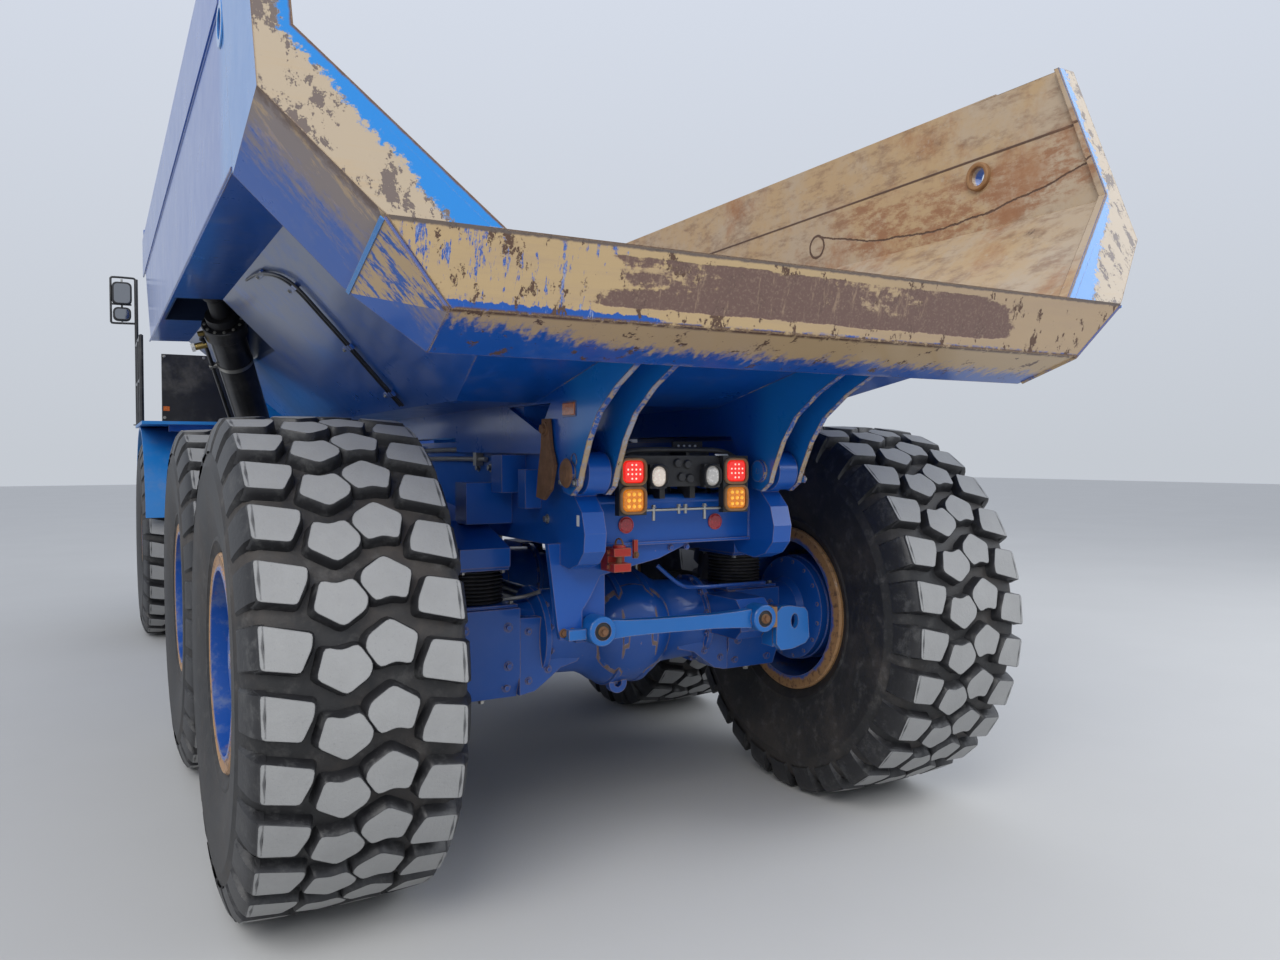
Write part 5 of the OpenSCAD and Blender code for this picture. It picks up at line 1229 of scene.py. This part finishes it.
def cab_inside():
    floor = 1.992
    shape = Shape("plastic", "seal", "zinc")
    board = [(6.83, floor), (7.105, floor), (7.105, 2.585), (6.97, 2.588), (6.85, 2.52), (6.83, 2.42)]
    shape.prism([(-0.68, y, z) for y, z in board], (1.43, 0, 0), "plastic")
    shape.box((-0.22, 6.856, 2.5), (0.22, 6.95, 2.6), "plastic")
    shape.box((0.34, 6.7, 2.4), (0.74, 6.84, 2.58), "plastic")
    for x in (-0.56, -0.4, 0.46, 0.62):
        shape.pad((x, 2.44), 0.1, 0.06, 6.832, 6.824, 0.012, "seal", hole=0.01)
        for z in (2.422, 2.436, 2.45):
            shape.box((x - 0.04, 6.826, z), (x + 0.04, 6.831, z + 0.006), "seal")
    # Steering column and wheel
    hub, axis = Vector((0, 6.6, 2.752)), Vector((0, -1, 1)).normalized()
    shape.tube([(0, 6.86, 2.42), (0, 6.8, 2.53), hub - axis * 0.03], 0.034, "plastic", n=20)
    shape.lathe([(0.198 + a, 0.014 + b) for a, b in circle(12, 0.016)], hub, axis, "seal", n=56)
    shape.lathe([(0.001, 0.03), (0.045, 0.028), (0.06, 0.015), (0.06, 0.0), (0.001, -0.004)], hub, axis,
                "plastic", n=32, closed=False)
    turn = axis.to_track_quat("Z", "Y")
    for x, y in circle(3, 0.195, math.pi / 2):
        shape.rod(hub + axis * 0.012, hub + turn @ Vector((x, y, 0.014)), 0.012, "plastic", n=12)
    # Seat base with its bellows, armrests and the console at the right
    shape.box((-0.2, 5.85, floor), (0.2, 6.22, 2.07), "plastic")
    folds = [(0.17 if i % 2 else 0.2, 0.03 * i) for i in range(1, 6)]
    shape.lathe([(0.001, 0.0), (0.19, 0.0), *folds, (0.19, 0.18), (0.001, 0.18)], (0, 6.03, 2.07), (0, 0, 1),
                "seal", n=40, closed=False)
    shape.box((-0.24, 5.82, 2.25), (0.24, 6.25, 2.29), "plastic")
    for shape.side in BOTH:
        shape.box((0.27, 5.8, 2.52), (0.33, 6.12, 2.56), "plastic")
        shape.box((0.25, 5.8, 2.35), (0.28, 5.86, 2.56), "plastic")
    shape.box((0.36, 5.85, floor), (0.6, 6.5, 2.42), "plastic")
    shape.rod((0.48, 6.3, 2.42), (0.48, 6.33, 2.6), 0.01, "zinc", n=12)
    shape.ball((0.48, 6.333, 2.61), 0.026, "seal")
    shape.make("cab_console", "front", "cab_plastic", ["cab_interior"], bevel=0.006)
    cushion("seat_cushion", (0, 6.03, 2.355), (0.5, 0.46, 0.13), across=4)
    lean = Matrix.Translation((0, REAR + 5.765, 2.7)) @ Matrix.Rotation(math.radians(84), 4, "X")
    cushion("seat_back", (0, 0, 0), (0.48, 0.62, 0.12), across=6, place=lean)
    cushion("seat_headrest", (0, 5.73, 3.085), (0.26, 0.09, 0.16), power=0.5)


HOOD_SIDE = 0.72 + SKIN


def nose():
    shape = Shape("cab", "seal", "plastic")
    for shape.side in BOTH:
        # Slots in the sides of the hood, its crease and latches
        for y in (7.55 + i * 0.075 for i in range(9)):
            shape.prism([(HOOD_SIDE, y, 1.85), (HOOD_SIDE, y, 2.18), (HOOD_SIDE, y + 0.045, 2.18),
                         (HOOD_SIDE, y + 0.045, 1.85)], (0.004, 0, 0), "seal")
            shape.prism([(0.7245, y, 1.845), (0.7365, y + 0.02, 1.845), (0.7245, y + 0.028, 1.845)],
                        (0, 0, 0.34), "cab")
        shape.box((HOOD_SIDE, 7.3, 1.7), (0.728, 9.0, 1.725), "cab")
        for y in (7.4, 8.8):
            shape.box((HOOD_SIDE, y, 1.57), (0.734, y + 0.09, 1.605), "plastic")

    def top(y):
        return 2.56 + (y - 7.22) * (2.08 - 2.56) / (9.0 - 7.22)

    low, high = top(7.35) - 0.003, top(8.9) - 0.003
    for shape.side in BOTH:
        shape.prism([(0.39, 7.35, low), (0.45, 7.35, low), (0.45, 8.9, high), (0.39, 8.9, high)],
                    (0, 0, 0.016), "cab")
    for y in (7.6 + i * 0.08 for i in range(6)):
        shape.prism([(-0.28, y, top(y)), (0.28, y, top(y)), (0.28, y + 0.05, top(y) + 0.012),
                     (-0.28, y + 0.05, top(y) + 0.012)], (0, 0, 0.004), "seal")
    shape.opening((-0.61, 1.6), (0.61, 1.92), 0.02, 9.1203, 9.13, "cab")
    shape.make("hood_trim", "hood", "blue_paint", bevel=0.002)

    front = Shape("steps", "plastic", "clear_lens", "zinc", "orange_reflector")
    for front.side in BOTH:
        # Lamp pots with their bezels
        for x in (0.88, 1.08):
            front.lathe([(0.07, -0.018), (0.07, 0.001), (0.074, 0.004), (0.08, 0.004), (0.084, -0.004),
                         (0.084, -0.078), (0.078, -0.082), (0.078, -0.018)], (x, 9.33, 1.468), (0, 1, 0),
                        "plastic", n=40)
        front.box((0.92, 9.3402, 1.16), (1.14, 9.35, 1.3), "steps")
        front.box((0.79, 9.21, 1.3803), (1.17, 9.34, 1.386), "steps")
        for x in (0.3, 0.6):
            front.rod((x, 9.34, 1.15), (x, 9.3495, 1.15), 0.045, "plastic", n=32, bevel=0.002)
        for x in (0.12, 0.45, 0.66):
            front.bolt((x, 9.32, 1.0), (0, 1, 0), 0.016, "zinc")
        # Straps, cap and sight glass of the tank
        for y in (5.66, 5.96):
            front.box((0.6485, y, 1.0585), (0.9215, y + 0.05, 1.0598), "zinc")
            front.box((0.9202, y, 1.059), (0.9216, y + 0.05, 1.561), "zinc")
        front.rod((0.9202, 5.82, 1.46), (0.945, 5.82, 1.46), 0.05, "plastic", n=32, bevel=0.006)
        # The sight glass takes the lamps' clear lens, so it gives off a faint painted glow
        front.rod((0.9202, 5.82, 1.16), (0.926, 5.82, 1.16), 0.02, "clear_lens", n=20)
        # Reflectors and bolts of the mud guards
        front.box((1.55, 5.538, 2.12), (1.5, 5.5397, 2.16), "orange_reflector")
        for x, z in ((0.9, 2.6), (1.22, 2.6), (1.54, 2.6), (0.9, 2.06), (1.54, 2.06)):
            front.bolt((x, 5.5398, z), (0, -1, 0), 0.009, "zinc")
    front.make("front_fittings", "front", "black_paint", bevel=0.003)


def exhaust():
    pipe = Shape("exhaust", "black_paint", "zinc")
    middle = Vector((0.905, 6.93, 0))
    for z in (2.1, 2.4, 2.66):
        pipe.lathe([(0.0802, -0.012), (0.084, -0.012), (0.084, 0.012), (0.0802, 0.012)], (0.905, 6.93, z),
                   (0, 0, 1), "zinc")
    for x, y in circle(14):
        d, wide = Vector((x, y, 0)), Vector((-y, x, 0)) * 0.01
        for z in (2.16 + k * 0.065 for k in range(7)):
            foot = middle + d * 0.0803 + Vector((0, 0, z))
            head = foot + Vector((0, 0, 0.04))
            pipe.prism([foot - wide, foot + wide, head + wide, head - wide], d * 0.0035, "black_paint")
    pipe.lathe([(0.0552, 3.19), (0.06, 3.19), (0.06, 3.2285), (0.048, 3.2288), (0.048, 3.19)], middle,
               (0, 0, 1), "exhaust")
    pipe.make("exhaust_shield", "front", "exhaust_steel")


def mirrors():
    shape = Shape("black_paint", "plastic", "mirror", "zinc")
    y = 7.01
    for shape.side in BOTH:
        shape.rod((1.7, y, 2.0302), (1.7, y, 3.49), 0.0175, "black_paint", n=20)
        shape.lathe([(0.018, 0.0), (0.04, 0.0), (0.04, 0.01), (0.018, 0.012)], (1.7, y, 2.0302), (0, 0, 1),
                    "black_paint", n=24)
        # Loop of tube around both heads
        loop = [(1.7, 3.47), (1.715, 3.495), (1.75, 3.5), (1.89, 3.5), (1.92, 3.49), (1.9236, 3.45),
                (1.9236, 3.1), (1.92, 3.055), (1.89, 3.045), (1.7, 3.05)]
        shape.tube([(x, y, z) for x, z in loop], 0.0105, "black_paint", n=12, smooth=4)
        x = 1.826
        for z, w, h in ((3.34, 0.176, 0.225), (3.135, 0.16, 0.135)):
            shape.pad((x, z), w, h, 7.033, 6.97, 0.045, "plastic", edge=0.012)
            shape.pad((x, z), w - 0.034, h - 0.034, 6.9725, 6.969, 0.034, "mirror", edge=0.001)
            shape.rod((x, y, z - h / 2 - 0.03), (x, y, z + h / 2 + 0.03), 0.009, "zinc", n=10)
        shape.box((1.742, 6.995, 3.225), (1.92, 7.02, 3.24), "black_paint")
    shape.make("mirror_heads", "front", "black_plastic", ["mirrors"])


def drive_line():
    """Yokes, covers and pulleys that show from below."""
    shape = Shape("black_paint", "zinc")
    for y, way in ((0.43, 1), (1.63, -1), (2.4, 1), (4.8, -1)):
        shape.bolt_ring((0, y, AXLE_Z), (0, way, 0), 0.067, 8, 0.007, "zinc", h=0.006)
        shape.lathe([(0.0552, 0.02), (0.066, 0.03), (0.066, 0.1), (0.0552, 0.12)], (0, y, AXLE_Z),
                    (0, way, 0), "black_paint", n=32)
    shape.make("shaft_yokes", "rear_frame", "black_paint")

    engine = Shape("iron", "zinc", "black_paint")
    for engine.side in BOTH:
        for y in (7.5 + i * 0.205 for i in range(6)):
            engine.bolt((0.17, y + 0.085, 1.965), (0, 0, 1), 0.012, "zinc")
            engine.tube([(0.3403, y + 0.08, 1.78), (0.4, y + 0.08, 1.76), (0.41, y + 0.1, 1.66)], 0.026,
                        "iron", n=12)
        engine.rod((0.41, 7.46, 1.65), (0.41, 8.72, 1.65), 0.045, "iron", n=24, bevel=0.01)
        engine.box((0.3403, 7.5, 1.16), (0.36, 8.7, 1.5), "iron")
    for y in (7.5 + i * 0.205 for i in range(6)):
        engine.box((-0.24, y, 1.9003), (0.24, y + 0.17, 1.965), "iron")
    for x, z, r in ((0.0, 1.28, 0.11), (-0.19, 1.52, 0.075), (0.17, 1.56, 0.085), (0.0, 1.72, 0.1)):
        engine.cap([(r * 0.4, 0.045), (r * 0.5, 0.03), (r * 0.85, 0.03), (r, 0.042), (r * 0.92, 0.022),
                    (r, 0.004), (r * 0.5, 0.0)], (x, 8.7905, z), (0, 1, 0), "black_paint", n=36)
    engine.make("engine_top", "front", "engine_iron", bevel=0.006)

    hitch = Shape("zinc")
    hitch.bolt_ring((0, 4.5005, 1.25), (0, 1, 0), 0.212, 16, 0.014, "zinc")
    hitch.make("roll_flange_bolts", "hitch", "frame_paint")
    pivot = Shape("frame", "zinc")
    for z, way in ((1.508, 1), (0.992, -1)):
        pivot.cap([(0.07, 0.024), (0.085, 0.016), (0.12, 0.014), (0.126, 0.0)], (0, 5.16, z + way * 0.0155),
                  (0, 0, way), "frame")
        pivot.bolt_ring((0, 5.16, z + way * 0.028), (0, 0, way), 0.103, 8, 0.01, "zinc")
    pivot.make("pivot_caps", "front", "frame_paint")


for build in (wheels, tail_lamps, tail_middle, hinges, bed_details, axles, links, springs, hoists, cab,
              cab_inside, nose, exhaust, mirrors, drive_line):
    build()


REPAINT = {
    "bed": ["dump_body"],
    "frame": ["rear_frame", "hitch_head", "front_frame", "equalizer_beams"],
    "black_paint": ["drive_shafts", "front_drive_shaft", "front_bumper", "side_tanks", "access_rails",
                    "mud_guards", "steer_barrel_left", "steer_barrel_right", "hoist_barrel_left",
                    "hoist_barrel_right"],
    "plastic": ["tail_lamp_bar", "grille", "cab_interior", "mirrors"],
    "red": ["tow_hitch"],
    "red_lens": ["tail_lenses_red"],
    "amber_lens": ["tail_lenses_amber"],
    "clear_lens": ["tail_lenses_clear", "headlamps"],
    "chrome": ["front_suspension"],
    "rod": ["hoist_stage_left", "hoist_stage_right", "hoist_rod_left", "hoist_rod_right"],
    "steer_rod": ["steer_rod_left", "steer_rod_right"],
    "iron": ["engine_block"],
    "deck": ["fenders"],
    "steps": ["ladders"],
    "cab": ["cab_shell", "cab_door", "hood"],
    "glass": ["cab_glass", "door_glass"],
    "exhaust": ["exhaust"],
    "axle": ["rear_axle", "center_axle", "front_axle", "axle_links"],
    "block_rubber": ["suspension_blocks"],
    "tyre_side": [f"tyre_{row}_{side}" for row in AXLES for side, sign in SIDES],
    "rim": [f"rim_{row}_{side}" for row in AXLES for side, sign in SIDES],
}
for look, names in REPAINT.items():
    for name in names:
        nodes[name].data.materials.clear()
        nodes[name].data.materials.append(M[look])


# Room, light and camera


def area(name, place, target, size, power, color):
    data = bpy.data.lights.new(name, "AREA")
    data.size = size
    data.energy = power
    data.color = color
    obj = bpy.data.objects.new(name, data)
    bpy.context.scene.collection.objects.link(obj)
    obj.location = place
    obj.rotation_mode = "QUATERNION"
    obj.rotation_quaternion = (Vector(target) - Vector(place)).to_track_quat("-Z", "Y")


def ground(size=60.0):
    mesh = bpy.data.meshes.new("ground")
    mesh.from_pydata([(-size, -size, 0), (size, -size, 0), (size, size, 0), (-size, size, 0)], [],
                     [(0, 1, 2, 3)])
    floor = bpy.data.objects.new("ground", mesh)
    bpy.context.scene.collection.objects.link(floor)
    look = Look("ground", (0.56, 0.555, 0.54), rough=0.85)
    look.tone(look.noise(0.6, 6, 0.6), 0.94, 1.04)
    mesh.materials.append(look.done())


def sky():
    """Pale at the horizon and a little bluer above."""
    world = bpy.data.worlds.new("sky")
    bpy.context.scene.world = world
    world.use_nodes = True
    tree = world.node_tree
    tree.nodes.clear()
    out, back, ramp, place, split = (tree.nodes.new("ShaderNode" + kind) for kind in
                                     ("OutputWorld", "Background", "ValToRGB", "TexCoord", "SeparateXYZ"))
    for a, b in ((place.outputs["Generated"], split.inputs[0]), (split.outputs["Z"], ramp.inputs[0]),
                 (ramp.outputs[0], back.inputs["Color"]), (back.outputs[0], out.inputs["Surface"])):
        tree.links.new(a, b)
    for stop, position, color in zip(ramp.color_ramp.elements, (0.0, 0.5),
                                     ((0.66, 0.7, 0.76), (0.8, 0.86, 0.98))):
        stop.position = position
        stop.color = (*color, 1)
    back.inputs["Strength"].default_value = 0.85


def studio():
    ground()
    sky()
    area("key", (-9, -14, 12), (0, -2, 1), 9.0, 1500, (1.0, 0.98, 0.95))
    area("fill", (10, -10, 8), (0, -2, 1), 9.0, 700, (0.93, 0.96, 1.0))
    scene = bpy.context.scene
    data = bpy.data.cameras.new("camera")
    camera = bpy.data.objects.new("camera", data)
    scene.collection.objects.link(camera)
    # Solved from the photo
    yaw, pitch, roll = (math.radians(v) for v in (29.42, -1.39, -0.07))
    ahead = Vector((math.sin(yaw) * math.cos(pitch), math.cos(yaw) * math.cos(pitch), math.sin(pitch)))
    camera.rotation_mode = "QUATERNION"
    camera.rotation_quaternion = ahead.to_track_quat("-Z", "Y") @ Matrix.Rotation(roll, 3,
                                                                                  "Z").to_quaternion()
    camera.location = (-2.0847, -7.8536, 1.7119)
    data.sensor_width = 36.0
    data.lens = 27.2
    data.clip_end = 200
    scene.camera = camera
    scene.view_settings.view_transform = "Standard"


studio()
